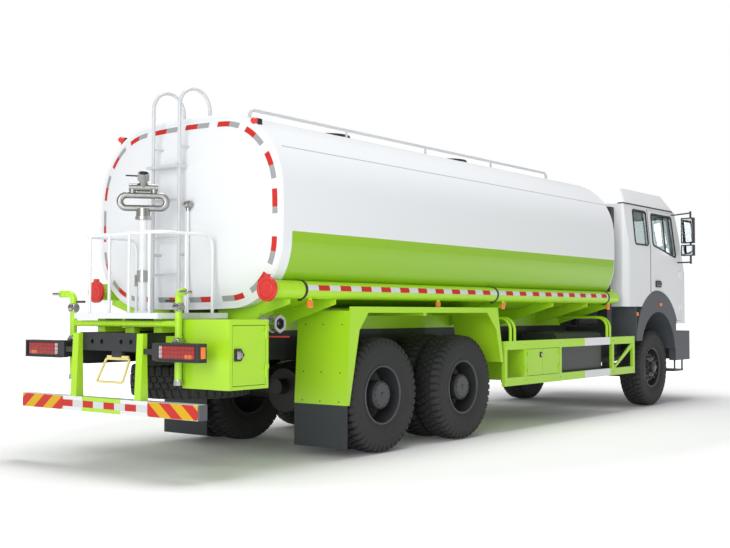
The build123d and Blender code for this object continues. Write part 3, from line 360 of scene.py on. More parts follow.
# %% Painted finishes
def worn(tree, place, colour, drift=0.06, dust=0.35):
    """The colour with a slow drift in tone and road dust that fades out one metre up."""
    slow = cloud(tree, place, 0.9)
    fine = cloud(tree, place, 60.0, 2.0)
    if isinstance(colour, tuple):
        colour = tinted(tree, slow, tuple(c * (1 - drift) for c in colour), colour)
    height = axes(tree, place)[2]
    low = span(tree, height, 0.15, 1.0, dust, 0.0)
    return tinted(tree, both(tree, low, fine), colour, road_dust)


def paint(name, colour, roughness=0.34, coat=0.15, drift=0.06, dust=0.20):
    """Coated paint of one colour, or of a colour worked out in the tree by a function."""
    material, tree, shader, place = new_finish(name)
    if callable(colour):
        colour = colour(tree, place)
    gloss = span(tree, cloud(tree, place, 3.0, 2.0), 0.0, 1.0, roughness - 0.07, roughness + 0.07)
    coat_with(tree, shader, worn(tree, place, colour, drift, dust), gloss)
    shader.inputs["Specular IOR Level"].default_value = 0.35
    shader.inputs["Coat Weight"].default_value = coat
    shader.inputs["Coat Roughness"].default_value = 0.06
    relief(tree, shader, cloud(tree, place, 170.0, 2.0), 0.02, 0.002)
    return material


tank_low, tank_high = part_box("tank")
head_depth = 0.085
tank_rear = tank_low.x + head_depth
tank_front = tank_high.x - head_depth
border_height = 2.08
rim_band = 0.115
seam_height = 2.840
seam_half = 0.005
seam_grey = (0.42, 0.43, 0.45)
bar_end_cap = 0.012
bar_lime = (-0.22, 0.30)
bar_upper_edge = 0.6235
guard_white = (1.48, 2.235)
guard_low_rail = 0.616
guard_high_rail = (0.934, 1.036)


def tank_colours(tree, place):
    """Barrel: a darker lime as painted shade below the border, white with one grey seam above. Heads and
    end bands: white.
    """
    x, y, z = axes(tree, place)
    barrel = inside(tree, x, tank_rear + rim_band, tank_front - 0.012)
    low = below(tree, z, border_height)
    seam = inside(tree, z, seam_height - seam_half, seam_height + seam_half)
    upper = tinted(tree, both(tree, barrel, seam), white, seam_grey)
    return tinted(tree, both(tree, barrel, low), upper, barrel_lime_painted_shade)


def bumper_colours(tree, place):
    """White bar with dark end caps and a lime middle; the brackets above the bar are lime."""
    x, y, z = axes(tree, place)
    ends = above(tree, unsigned(tree, y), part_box("rear_bumper")[1].y - bar_end_cap)
    brackets = above(tree, z, bar_upper_edge)
    bar = tinted(tree, either(tree, inside(tree, y, *bar_lime), brackets), white, lime)
    return tinted(tree, ends, bar, dark_plastic)


def guard_colours(tree, place):
    """Lime side guard with one white stretch on both rails."""
    x, y, z = axes(tree, place)
    rails = either(tree, below(tree, z, guard_low_rail), inside(tree, z, *guard_high_rail))
    return tinted(tree, both(tree, inside(tree, x, *guard_white), rails), lime, white)


lime_paint = paint("lime_paint", lime)
white_paint = paint("white_paint", white, drift=0.03)
# painted shade: the rails and ladder are white, and this grey stands in for their shading
rail_white_painted_shade = paint("rail_white_painted_shade", (0.58, 0.60, 0.62), drift=0.03)
tank_paint = paint("tank_paint", tank_colours, coat=0.2)
bumper_paint = paint("bumper_paint", bumper_colours)
guard_paint = paint("guard_paint", guard_colours)
chassis_paint = paint("chassis_paint", (0.022, 0.023, 0.026), roughness=0.45, coat=0.1, dust=0.5)
rim_paint = paint("rim_paint", (0.038, 0.040, 0.044), roughness=0.38, coat=0.2, dust=0.08)
# painted highlight: the flange ring is a lighter grey than the rim to stand in for its highlight
rim_edge_painted_highlight = paint("rim_edge_painted_highlight", (0.065, 0.068, 0.072), coat=0.3, dust=0.05)
print("paints made")

# %% [markdown]
# ### Rubber, plastics, metal, glass
# Rubber and plastics differ from paint mostly in roughness and grain: a fine noise drives both the
# tone and the bump. Glass is a real refracting shader, because the CAD panes are solids with a
# thickness.


# %% Other finishes
def moulded(name, colour, roughness=0.55, grain=220.0, depth=0.0012, dust=0.2):
    """Moulded rubber or plastic: fine grain in tone, gloss and height."""
    material, tree, shader, place = new_finish(name)
    fine = cloud(tree, place, grain, 3.0)
    toned = tinted(tree, fine, tuple(c * 0.82 for c in colour), tuple(min(1, c * 1.15) for c in colour))
    gloss = span(tree, fine, 0.3, 0.7, roughness - 0.06, roughness + 0.06)
    coat_with(tree, shader, worn(tree, place, toned, dust=dust), gloss)
    relief(tree, shader, fine, 0.25, depth)
    return material


def metal(name, colour, roughness=0.32, grain=90.0):
    """Bare metal with fine marks that vary its gloss."""
    material, tree, shader, place = new_finish(name)
    marks = cloud(tree, place, grain, 6.0)
    toned = tinted(tree, marks, tuple(c * 0.8 for c in colour), colour)
    coat_with(tree, shader, toned, span(tree, marks, 0.3, 0.7, roughness - 0.08, roughness + 0.1))
    shader.inputs["Metallic"].default_value = 1.0
    relief(tree, shader, marks, 0.08, 0.001)
    return material


def silvered(name, colour):
    """Mirror: smooth metal with a faint change of tone and gloss."""
    material, tree, shader, place = new_finish(name)
    haze = cloud(tree, place, 3.0, 1.0)
    toned = tinted(tree, haze, tuple(c * 0.9 for c in colour), colour)
    coat_with(tree, shader, toned, span(tree, haze, 0.3, 0.7, 0.03, 0.06))
    shader.inputs["Metallic"].default_value = 1.0
    return material


def glazing(name, tint):
    """Clear tinted glass with a trace of dust in its gloss."""
    material, tree, shader, place = new_finish(name)
    haze = cloud(tree, place, 14.0)
    toned = tinted(tree, haze, tint, tuple(c * 0.94 for c in tint))
    coat_with(tree, shader, toned, span(tree, haze, 0.3, 0.8, 0.0, 0.01))
    shader.inputs["Transmission Weight"].default_value = 1.0
    shader.inputs["IOR"].default_value = 1.45
    return material


rubber = moulded("tyre_rubber", (0.017, 0.018, 0.019), 0.70, 160.0, dust=0.10)
flap_rubber = moulded("flap_rubber", (0.026, 0.032, 0.041), 0.55, 120.0, dust=0.06)
black_plastic = moulded("black_plastic", (0.020, 0.020, 0.022), 0.42)
grey_plastic = moulded("grey_plastic", dark_plastic, 0.5)
box_plastic = moulded("box_plastic", (0.028, 0.030, 0.034), 0.4)
red_plastic = moulded("red_plastic", (0.68, 0.035, 0.030), 0.35, 140.0)
amber_lens = moulded("amber_lens", amber, 0.22, 90.0, dust=0.05)
seal_rubber = moulded("seal_rubber", (0.016, 0.016, 0.017), 0.6)
dash_plastic = moulded("dash_plastic", (0.060, 0.060, 0.064), 0.6)
bright_steel = metal("bright_steel", (0.40, 0.40, 0.39), 0.25)
cast_metal = metal("cast_metal", (0.36, 0.36, 0.35), 0.36, 45.0)
dark_iron = moulded("dark_iron", (0.024, 0.024, 0.026), 0.55, 60.0, 0.003)
engine_iron = moulded("engine_iron", (0.14, 0.145, 0.15), 0.55, 40.0, 0.003)
mirror_glass = silvered("mirror_glass", (0.62, 0.66, 0.70))
window_glass = glazing("window_glass", (0.72, 0.80, 0.80))
plate_yellow = paint("plate_yellow", (0.80, 0.68, 0.26), dust=0.1)
print("materials", len(bpy.data.materials))


# %% [markdown]
# ### Two-part nodes
# Some CAD nodes are one solid with several finishes, such as a lime pipe with bright valves. A mask
# in Object coordinates picks the metal by its true place, so no face has to be cut.


# %% Pipework, deck, lamp bodies and standpipe
valve_bands = ((1.374, 1.441), (0.751, 0.801), (1.089, 1.141))
riser_reach = 0.64
outlet_start = -0.955
bearer_top = 1.308
deck_face = (1.355, 1.365)
bar_pitch = 0.045
rib_pitch = 0.03
standpipe_valve = (1.638, 1.742)
standpipe_flange = 2.196
lever_start = 0.045


def pipe_finish():
    """Lime pipe; valves, spray ends and the outlet coupling are bright metal."""
    material, tree, shader, place = new_finish("pipe_finish")
    x, y, z = axes(tree, place)
    upper, lower, middle = [inside(tree, z, *band) for band in valve_bands]
    valves = either(tree, either(tree, upper, lower), middle)
    risers = above(tree, unsigned(tree, y), riser_reach)
    bright = either(tree, both(tree, valves, risers), below(tree, y, outlet_start))
    gloss = span(tree, cloud(tree, place, 40.0), 0.3, 0.7, 0.24, 0.36)
    coat_with(tree, shader, tinted(tree, bright, worn(tree, place, lime), steel), gloss)
    wire(tree, bright, shader.inputs["Metallic"])
    relief(tree, shader, cloud(tree, place, 120.0, 2.0), 0.06, 0.002)
    return material


def deck_finish():
    """White deck and railing, lime bearers below; two crossed waves raise diamond bars on the top."""
    material, tree, shader, place = new_finish("deck_finish")
    x, y, z = axes(tree, place)
    bearers = below(tree, z, bearer_top)
    toned = tinted(tree, bearers, worn(tree, place, white, 0.03, 0.1), lime)
    coat_with(tree, shader, toned, span(tree, cloud(tree, place, 8.0), 0.3, 0.7, 0.26, 0.38))
    first = wave(tree, math_node(tree, "ADD", x, y), bar_pitch)
    second = wave(tree, math_node(tree, "SUBTRACT", x, y), bar_pitch)
    bars = above(tree, both(tree, first, second), 0.45)
    relief(tree, shader, both(tree, bars, inside(tree, z, *deck_face)), 0.5, 0.003)
    return material


def lamp_finish():
    """Black lamp boxes at the rear and clear lens blocks in the front bumper."""
    material, tree, shader, place = new_finish("lamp_finish")
    x, y, z = axes(tree, place)
    ahead = above(tree, x, 0.0)
    ribs = wave(tree, y, rib_pitch)
    clear = tinted(tree, above(tree, ribs, 0.2), (0.62, 0.66, 0.68), (0.42, 0.46, 0.48))
    dark = tinted(tree, cloud(tree, place, 200.0), black, (0.030, 0.030, 0.032))
    coat_with(tree, shader, tinted(tree, ahead, dark, clear), span(tree, ahead, 0, 1, 0.45, 0.12))
    relief(tree, shader, ribs, 0.15, 0.002)
    return material


def standpipe_finish():
    """White standpipe; the valve low on it, the valve's lever and the top flange are bare metal."""
    material, tree, shader, place = new_finish("standpipe_finish")
    x, y, z = axes(tree, place)
    lever = above(tree, y, lever_start)
    valve = either(tree, inside(tree, z, *standpipe_valve), lever)
    bare = either(tree, valve, above(tree, z, standpipe_flange))
    toned = tinted(tree, bare, worn(tree, place, white, 0.03, 0.1), steel)
    coat_with(tree, shader, toned, span(tree, cloud(tree, place, 40.0), 0.0, 1.0, 0.22, 0.42))
    wire(tree, bare, shader.inputs["Metallic"])
    return material


pipe_paint = pipe_finish()
standpipe_paint = standpipe_finish()
deck_paint = deck_finish()
lamp_plastic = lamp_finish()
print("two-part finishes made")


# %% [markdown]
# ## Every CAD node gets its finish
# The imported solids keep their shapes. Only their material changes, one finish for each node.

# %% Hand out the finishes
nodes_by_finish = (
    (chassis_paint, "frame"),
    (dark_iron, "axles springs prop_shafts knuckle_right knuckle_left tie_rod"),
    (engine_iron, "engine"),
    (tank_paint, "tank"),
    (lime_paint, "tank_cradle hose_tubes rear_mudguards tool_box tool_box_door"),
    (lime_paint, "side_cabinet cabinet_leaf_rear cabinet_leaf_front"),
    (rail_white_painted_shade, "tank_rails ladder"),
    (deck_paint, "platform"),
    (red_plastic, "tube_caps"),
    (flap_rubber, "mud_flaps"),
    (rubber, "spare_wheel"),
    (bumper_paint, "rear_bumper"),
    (lamp_plastic, "lamps"),
    (pipe_paint, "spray_pipework"),
    (standpipe_paint, "cannon_standpipe"),
    (cast_metal, "cannon_swivel cannon_barrel"),
    (guard_paint, "side_guards"),
    (box_plastic, "fuel_tanks"),
    (black_plastic, "manhole_lid_rear manhole_lid_front air_intake front_trim mirror_right mirror_left"),
    (grey_plastic, "front_bumper arch_flares"),
    (white_paint, "cab_shell cab_roof door_right door_left"),
    (window_glass, "cab_glass door_glass_right door_glass_left"),
    (dash_plastic, "seats dashboard"),
)
finish_of = {name: finish for finish, names in nodes_by_finish for name in names.split()}
for name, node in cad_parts.items():
    wheel_finish = rubber if name.startswith("tyre") else rim_paint
    node.data.materials.clear()
    node.data.materials.append(finish_of.get(name, wheel_finish))
print("nodes finished", len(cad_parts))

# %% [markdown]
# ## Tyres with lug tread
# A tyre is a profile turned about the axle, and its tread is a second pattern round the
# circumference. Cutting blocks with booleans would be slow and ragged. Here the grid lines themselves
# follow the lug edges: rows step through floor, wall and top of each lug, and columns follow the
# zig-zag grooves, so every edge is crisp with few faces.

# %% One tyre
lug_count = 46
tread_depth = 0.017
tread_half = 0.128
lug_steps = np.array([0.00, 0.24, 0.29, 0.62, 0.95])
lug_tops = np.array([0.0, 0.0, 1.0, 1.0, 1.0])
# columns of the tread: place across (share of the half width), 1 on a rib and 0 in a groove,
# shift round (lugs)
tread_columns = np.array([
    (-1.00, 1, 0.00), (-0.52, 1, 0.16), (-0.49, 0, 0.18), (-0.40, 0, 0.42), (-0.37, 1, 0.44),
    (-0.06, 1, 0.60), (-0.03, 0, 0.62), (0.03, 0, 0.88), (0.06, 1, 0.90), (0.37, 1, 1.06),
    (0.40, 0, 1.08), (0.49, 0, 1.32), (0.52, 1, 1.34), (1.00, 1, 1.50),
])
# sidewall from the bead to the shoulder: radius and distance from the wheel's middle
sidewall = np.array([
    (0.287, 0.112), (0.290, 0.126), (0.302, 0.131), (0.318, 0.131), (0.326, 0.137), (0.352, 0.147),
    (0.362, 0.150), (0.392, 0.155), (0.432, 0.157), (0.462, 0.155), (0.468, 0.157), (0.474, 0.155),
    (0.488, 0.153),
])
shoulder = np.array([(0.500, 0.152), (0.538, 0.140)])
shoulder_notch = np.array([0.000, 0.016])
shoulder_inset = 0.009
crown_drop = 0.012
zigzag = 0.10


def tyre(centre, outer_radius):
    """Lug angle times profile: the radius falls by the tread depth where row or column is a groove."""
    lug, step = np.meshgrid(np.arange(lug_count), np.arange(len(lug_steps)), indexing="ij")
    phase = (lug + lug_steps[step]).ravel()[:, None]
    top = lug_tops[step].ravel()[:, None]
    swing = np.abs((phase % 1) * 2 - 1) - 0.5
    place, rib, shift = tread_columns.T[:, None, :]
    edge = np.abs(place) > 0.99
    across = (place + zigzag * swing * ~edge) * tread_half
    crown = crown_drop * place**2
    tread_radius = outer_radius - crown - tread_depth * (1 - top * rib)
    lug_angle = (phase + shift) * 2 * np.pi / lug_count
    ones = np.ones_like(phase)
    shoulder_radius = shoulder[:, 0] - shoulder_notch * (1 - top)
    left = np.concatenate([sidewall[:, 0] * ones, shoulder_radius], axis=1)
    shoulder_across = shoulder[:, 1] - shoulder_inset * (1 - top)
    left_across = -np.concatenate([sidewall[:, 1] * ones, shoulder_across], axis=1)
    radius = np.concatenate([left, tread_radius, left[:, ::-1]], axis=1)
    offset = np.concatenate([left_across, across, -left_across[:, ::-1]], axis=1)
    plain = left.shape[1]
    left_angle = (phase + shift[:, :1]) * 2 * np.pi / lug_count * np.ones((1, plain))
    right_angle = (phase + shift[:, -1:]) * 2 * np.pi / lug_count * np.ones((1, plain))
    angle = np.concatenate([left_angle, lug_angle, right_angle], axis=1)
    points = np.stack([radius * np.cos(angle), offset, radius * np.sin(angle)], axis=-1)
    points = points.reshape(-1, 3) + np.asarray(centre)
    return points, quads(*radius.shape, wrap_rows=True, wrap_columns=True)


# name, body and tyre node of each wheel set
wheels = (
    ("front_right", "wheel_front_right", "tyre_front_right"),
    ("front_left", "wheel_front_left", "tyre_front_left"),
    ("mid_right", "wheels_mid_right", "tyres_mid_right"),
    ("mid_left", "wheels_mid_left", "tyres_mid_left"),
    ("rear_right", "wheels_rear_right", "tyres_rear_right"),
    ("rear_left", "wheels_rear_left", "tyres_rear_left"),
)
tyre_half_width = 0.157
wheel_centres = {}
wheel_reach = {}
for name, body, node in wheels:
    low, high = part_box(node)
    middle = np.array((low + high) / 2)
    outer_radius = (high.z - low.z) / 2
    wheel_centres[name] = middle
    single = high.y - low.y < 3 * tyre_half_width
    reach = 0 if single else (high.y - low.y) / 2 - tyre_half_width
    wheel_reach[name] = reach
    surface = tyre(middle - (0, reach, 0), outer_radius)
    if not single:
        surface = joined(surface, tyre(middle + (0, reach, 0), outer_radius))
    made = piece("tread_" + name, surface, rubber, body)
    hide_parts(node)
print("tyre triangles so far", added_triangles)

# %% [markdown]
# ## The spare wheel
# It lies flat under the rear frame, so the same tyre is turned from the Y axis onto the Z axis by
# exchanging two columns of its points. The rim, the carrier plate and the post are one turned
# profile.

# %% Spare wheel
spare_low, spare_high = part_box("spare_wheel")
spare_middle = np.array(((spare_low.x + spare_high.x) / 2, 0, spare_low.z + tyre_half_width))
upright, tyre_faces = tyre((0, 0, 0), (spare_high.x - spare_low.x) / 2)
spare_tyre = (upright[:, [0, 2, 1]] * (1, -1, 1) + spare_middle, tyre_faces)
post_top = spare_high.z - spare_middle[2]
spare_profile = [
    (0, post_top), (0.022, post_top), (0.022, 0.096), (0.129, 0.096), (0.129, 0.112), (0.169, 0.112),
    (0.225, 0.080), (0.273, 0.036), (0.272, 0.128), (0.286, 0.128), (0.286, -0.128), (0.272, -0.128),
    (0.273, 0.020), (0.218, 0.066), (0.163, 0.094), (0.163, 0.082), (0, 0.082),
]
made = piece("spare_tread", spare_tyre, rubber, "chassis")
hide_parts("spare_wheel")
piece("spare_rim", turned(spare_profile, spare_middle, (0, 0, 1), 48), rim_paint, "chassis")
print("spare wheel under the frame at", np.round(spare_middle, 3))


# %% [markdown]
# ## Wheel nuts and hub caps
# Nuts sit on a ring. One hexagonal nut with a domed end is made once as a turned profile with six
# sides, and the ring is the same points plus one offset per nut.

# %% Wheel fittings
def nut(radius, height, axis):
    """Six-sided turned form: skirt, flats and a small dome, standing along the axis from the origin."""
    skirt = radius * 1.25
    profile = [(0, 0), (skirt, 0), (skirt, height * 0.2), (radius, height * 0.25)]
    profile += [(radius, height * 0.8), (radius * 0.6, height), (0, height)]
    return turned(profile, (0, 0, 0), axis, sides=6)


def ring_offsets(centre, radius, count):
    """Points of a circle round the axle through the centre."""
    angle = np.arange(count) * 2 * np.pi / count
    ring = np.stack([radius * np.cos(angle), 0 * angle, radius * np.sin(angle)], axis=1)
    return ring + np.asarray(centre)


flange_profile = [
    (0.270, -0.006), (0.271, 0.003), (0.277, 0.008), (0.286, 0.007), (0.291, 0.001), (0.290, -0.006),
    (0.270, -0.006),
]
front_cap = [(0, 0.185), (0.035, 0.183), (0.062, 0.176), (0.070, 0.164), (0.070, 0.150), (0, 0.150)]
drive_cap = [(0, 0.306), (0.022, 0.305), (0.030, 0.300), (0.030, 0.295), (0, 0.295)]
rim_half_width = 0.128
for name, body, node in wheels:
    out = -1 if name.endswith("right") else 1
    axis = (0, out, 0)
    middle = wheel_centres[name]
    if name.startswith("front"):
        nuts = copies(nut(0.017, 0.036, axis), ring_offsets(middle + (0, out * 0.112, 0), 0.155, 10))
        small = copies(nut(0.008, 0.014, axis), ring_offsets(middle + (0, out * 0.118, 0), 0.108, 8))
        cap = turned(front_cap, middle, axis)
    else:
        nuts = copies(nut(0.016, 0.034, axis), ring_offsets(middle + (0, out * 0.014, 0), 0.165, 10))
        small = copies(nut(0.010, 0.018, axis), ring_offsets(middle + (0, out * 0.290, 0), 0.112, 12))
        cap = turned(drive_cap, middle, axis)
    piece("wheel_fittings_" + name, joined(nuts, small, cap), rim_paint, body)
    flange_middle = middle + (0, out * (wheel_reach[name] + rim_half_width), 0)
    # the flange's lighter grey is a painted highlight
    piece("rim_flange_" + name, turned(flange_profile, flange_middle, axis, 64), rim_edge_painted_highlight, body)
print("triangles so far", added_triangles)

# %% [markdown]
# ## Reflective tape
# Tape is a thin film on a curved face. On the hose tubes it is a strip of a cylinder a little larger
# than the tube. On the tank's rear head it follows the rim, so the rim's own outline is read from the
# packed tank, drawn in by a fixed distance, and a shrinkwrap lays the strips onto the dished head.


# %% Tape finish
def film(name, colour):
    """One colour of reflective film with its fine bead grain."""
    material, tree, shader, place = new_finish(name)
    fine = cloud(tree, place, 260.0, 1.0)
    toned = tinted(tree, fine, tuple(c * 0.85 for c in colour), colour)
    coat_with(tree, shader, toned, span(tree, fine, 0.3, 0.7, 0.29, 0.42))
    shader.inputs["Specular IOR Level"].default_value = 0.2
    relief(tree, shader, fine, 0.1, 0.001)
    return material


red_film = film("red_film", tape_red)
silver_film = film("silver_film", tape_silver)
pale_film = film("pale_film", (0.68, 0.70, 0.71))
print("films made")


# %% Tape on the hose tubes
tube_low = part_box("hose_tubes")[0]
tube_radius = 0.082
tube_y = -tube_low.y - tube_radius
tube_z = tube_low.z + tube_radius
film_gap = 0.0012
tape_width_angle = math.radians(36)
tape_middle_angle = math.radians(14)


def tube_patch(x_low, x_high, side, steps=5):
    """Part of a cylinder round the tube: X along it, an angle from the outer side upwards across it."""
    x = np.linspace(x_low, x_high, 2)[:, None]
    angle = tape_middle_angle + np.linspace(-0.5, 0.5, steps)[None] * tape_width_angle
    radius = tube_radius + film_gap
    y = side * (tube_y + radius * np.cos(angle)) + 0 * x
    z = tube_z + radius * np.sin(angle) + 0 * x
    return np.stack([x + 0 * angle, y, z], axis=-1).reshape(-1, 3), quads(2, steps)


tape_pitch = 0.157
tape_runs = ((-3.99, -0.70), (-0.655, 2.225))
red_parts, pale_parts = [], []
for start, end in tape_runs:
    edges = np.arange(start, end - 0.02, tape_pitch)
    for index, edge in enumerate(edges):
        for side in (-1, 1):
            patch = tube_patch(edge, min(edge + tape_pitch, end), side)
            (red_parts if index % 2 else pale_parts).append(patch)
piece("tube_tape_red", joined(*red_parts), red_film, "chassis")
piece("tube_tape_pale", joined(*pale_parts), pale_film, "chassis")
print("tape patches", len(red_parts) + len(pale_parts))

# %% Tape round the rear head
tank_points = np.array([v.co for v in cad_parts["tank"].data.vertices])
rim = tank_points[np.abs(tank_points[:, 0] - tank_rear) < 0.001]
rim_middle = (rim[:, 2].min() + rim[:, 2].max()) / 2
rim_flat = np.stack([rim[:, 1], rim[:, 2] - rim_middle], axis=1)
directions = np.linspace(-np.pi, np.pi, 1440, endpoint=False)
outward = np.stack([np.cos(directions), np.sin(directions)], axis=1)
farthest = rim_flat[np.argmax(rim_flat @ outward.T, axis=0)]


def head_loop(inset):
    """Closed loop inside the rim: the farthest rim point in each direction, moved back along it."""
    loop = farthest - inset * outward
    return np.concatenate([loop, loop[:1]])


pair_count = 18
red_share = 0.38 / pair_count
silver_share = 0.36 / pair_count
pair_shift = 0.48
head_clearance = 0.12
tape_width = 0.05
tape_inset = 0.065
outer_loop = head_loop(tape_inset)
inner_loop = head_loop(tape_inset + tape_width)
steps = np.linalg.norm(np.diff((outer_loop + inner_loop) / 2, axis=0), axis=1)
travel = np.concatenate([[0], np.cumsum(steps)])


def head_patch(start, end, columns=9):
    """Strip between two loops from one share of the way round to another."""
    way = np.linspace(start, end, columns) * travel[-1]
    outer = np.stack([np.interp(way, travel, outer_loop[:, axis]) for axis in (0, 1)], axis=1)
    inner = np.stack([np.interp(way, travel, inner_loop[:, axis]) for axis in (0, 1)], axis=1)
    rows = np.stack([outer, (outer + inner) / 2, inner])
    x = np.full(rows.shape[:2], tank_rear - head_clearance)
    points = np.stack([x, rows[..., 0], rows[..., 1] + rim_middle], axis=-1)
    return points.reshape(-1, 3), quads(3, columns)


def laid_on_head(made):
    """Projects a flat piece along X onto the tank's head."""
    wrap = made.modifiers.new("lay on head", "SHRINKWRAP")
    wrap.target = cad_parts["tank"]
    wrap.wrap_method = "PROJECT"
    wrap.use_project_x = True
    wrap.use_negative_direction = True
    wrap.use_positive_direction = True
    wrap.offset = film_gap
    return made


pair_starts = (np.arange(pair_count) + pair_shift) / pair_count
silver_starts = pair_starts + red_share
ring_red = joined(*[head_patch(start, start + red_share) for start in pair_starts])
ring_silver = joined(*[head_patch(start, start + silver_share) for start in silver_starts])
laid_on_head(piece("head_tape_red", ring_red, red_film, "chassis"))
laid_on_head(piece("head_tape_silver", ring_silver, silver_film, "chassis"))
print("rim from", len(rim), "points, loop length", round(float(travel[-1]), 2))

# %% [markdown]
# ## Straps and side markers
# Black straps hold the hose tubes on their brackets, and small amber markers hang below them.

# %% Tube straps and markers
strap_stations = (-4.0, -0.685, 2.241)
marker_stations = (-3.915, -1.85, -0.516, 2.285)
strap_profile = [(0.0822, -0.014), (0.0875, -0.014), (0.0875, 0.014), (0.0822, 0.014), (0.0822, -0.014)]
strap = turned(strap_profile, (0, 0, 0), (1, 0, 0), sides=40)
buckle = rounded_box((-0.017, -0.012, -0.100), (0.017, 0.012, -0.084))
marker = rounded_box((-0.034, -0.012, -0.036), (0.034, 0.012, 0.036))
bracket = rounded_box((-0.020, 0.000, 0.020), (0.020, 0.020, 0.060))
strap_places = [(x, side * tube_y, tube_z) for x in strap_stations for side in (-1, 1)]
piece("tube_straps", copies(joined(strap, buckle), strap_places), seal_rubber, "chassis")
marker_y = tube_y + 0.045
marker_z = tube_z - tube_radius - 0.045
marker_places = np.array([(x, side * marker_y, marker_z) for x in marker_stations for side in (-1, 1)])
piece("side_markers", copies(marker, marker_places), amber_lens, "chassis")
piece("marker_brackets", copies(bracket, marker_places - (0, 0.01, 0)), lime_paint, "chassis")
print("straps", len(strap_places), "markers", len(marker_places))

# %% [markdown]
# ## Rear bar: hazard boards and tape
# The boards at both ends carry slanted red and yellow stripes that fall away from the middle. A
# stripe is a line of constant |Y| plus 1.3 Z, so one finish serves both boards and they mirror each
# other.


# %% Hazard boards
def hazard_finish():
    """Slanted stripes: the fraction of |Y| + 1.3 Z, from the inner upper corner, picks yellow or red."""
    material, tree, shader, place = new_finish("hazard_film")
    x, y, z = axes(tree, place)
    fall = math_node(tree, "MULTIPLY", math_node(tree, "SUBTRACT", z, bar_top), stripe_slope)
    reach = math_node(tree, "SUBTRACT", unsigned(tree, y), board_inner)
    slant = math_node(tree, "ADD", reach, fall)
    stripe = math_node(tree, "FRACT", math_node(tree, "DIVIDE", slant, stripe_pitch))
    stripes = tinted(tree, below(tree, stripe, 0.5), tape_red, hazard_yellow)
    fine = cloud(tree, place, 240.0, 1.0)
    toned = tinted(tree, span(tree, fine, 0, 1, 0.0, 0.12), stripes, black)
    coat_with(tree, shader, toned, span(tree, fine, 0.3, 0.7, 0.29, 0.42))
    shader.inputs["Specular IOR Level"].default_value = 0.2
    relief(tree, shader, fine, 0.1, 0.001)
    return material


stripe_slope = 1.3
stripe_pitch = 0.27
bar_low, bar_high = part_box("rear_bumper")
bar_back = bar_low.x
bar_bottom = bar_low.z
bar_top = bar_bottom + 0.126
board_inner, board_outer = 0.567, bar_high.y - bar_end_cap
board_low = (bar_back - 0.004, -board_outer, bar_bottom + 0.003)
board_high = (bar_back + 0.002, -board_inner, bar_top - 0.003)
board = rounded_box(board_low, board_high, 0.08)
piece("hazard_boards", both_sides(board), hazard_finish(), "chassis")
block_count = 8
block_width = 2 * board_inner / block_count
bar_mid = (bar_bottom + bar_top) / 2
block_half = 0.029
block_low = (bar_back - 0.0025, 0, bar_mid - block_half)
block_high = (bar_back + 0.001, block_width, bar_mid + block_half)
block = rounded_box(block_low, block_high, 0.06)
block_y = -board_inner + block_width * np.arange(block_count)
places = np.stack([0 * block_y, block_y, 0 * block_y], axis=1)
piece("bar_tape_silver", copies(block, places[::2]), pale_film, "chassis")
piece("bar_tape_red", copies(block, places[1::2]), red_film, "chassis")
print("hazard boards on the bar from", round(bar_bottom, 3), "to", round(bar_top, 3))

# %% [markdown]
# ## Tail lamps
# Each lamp is a black box with a lens of small cells: mostly red, some amber, white at the inner end.
# The finish draws the cell walls as grooves with a bump, picks the colours by place and adds orange glints
# as painted highlight.


# %% Lens
white_cells = 0.715
amber_cells = (0.99, 1.08)
amber_top = 1.025
cell_width = 0.041
cell_height = 0.034


def lens_finish():
    """Cells by place: white at the inner end, amber low and outside, else red, with dark cell walls and
    painted orange glints.
    """
    material, tree, shader, place = new_finish("tail_lens")
    x, y, z = axes(tree, place)
    reach = unsigned(tree, y)
    inner = below(tree, reach, white_cells)
    outer = both(tree, inside(tree, reach, *amber_cells), below(tree, z, amber_top))
    red_or_amber = tinted(tree, outer, (0.33, 0.004, 0.008), (0.70, 0.13, 0.02))
    colour = tinted(tree, inner, red_or_amber, (0.55, 0.50, 0.50))
    cell = math_node(tree, "FRACT", math_node(tree, "DIVIDE", reach, cell_width))
    row = math_node(tree, "FRACT", math_node(tree, "DIVIDE", z, cell_height))
    wall = either(tree, below(tree, cell, 0.12), below(tree, row, 0.14))
    glint_and_gloss_noise = cloud(tree, place, 120.0)
    # painted highlight: orange glints in the lens where the noise is high
    cells_with_painted_glints = tinted(tree, span(tree, glint_and_gloss_noise, 0.52, 0.75, 0.0, 0.35), colour, (0.80, 0.18, 0.05))
    toned = tinted(tree, wall, cells_with_painted_glints, (0.09, 0.008, 0.010))
    coat_with(tree, shader, toned, span(tree, glint_and_gloss_noise, 0.3, 0.7, 0.10, 0.22))
    relief(tree, shader, math_node(tree, "SUBTRACT", 1.0, wall), 0.4, 0.003)
    return material


lamp_low, lamp_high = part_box("lamps")
lamp_back = lamp_low.x
lamp_out = lamp_high.y
guard_back, guard_ahead = lamp_back - 0.014, lamp_back + 0.086
guard_out, guard_in = -lamp_out - 0.010, -0.640
lens_low = (lamp_back - 0.006, -lamp_out + 0.045, 0.984)
lens = rounded_box(lens_low, (lamp_back + 0.004, -0.682, 1.090), 0.10)
piece("tail_lenses", both_sides(lens), lens_finish(), "chassis")
end_low = (lamp_back + 0.020, -lamp_out - 0.006, 0.990)
end_high = (lamp_back + 0.070, -lamp_out + 0.004, 1.084)
piece("end_lenses", both_sides(rounded_box(end_low, end_high, 0.10)), amber_lens, "chassis")
shade = rounded_box((guard_back, guard_out, 1.100), (guard_ahead, guard_in, 1.113), 0.08)
sill = rounded_box((guard_back, guard_out, 0.957), (guard_ahead, guard_in, 0.970), 0.08)
post_low = (lamp_back - 0.012, -lamp_out - 0.004, 0.965)
post_high = (lamp_back, -lamp_out + 0.020, 1.105)
post = rounded_box(post_low, post_high, 0.08)
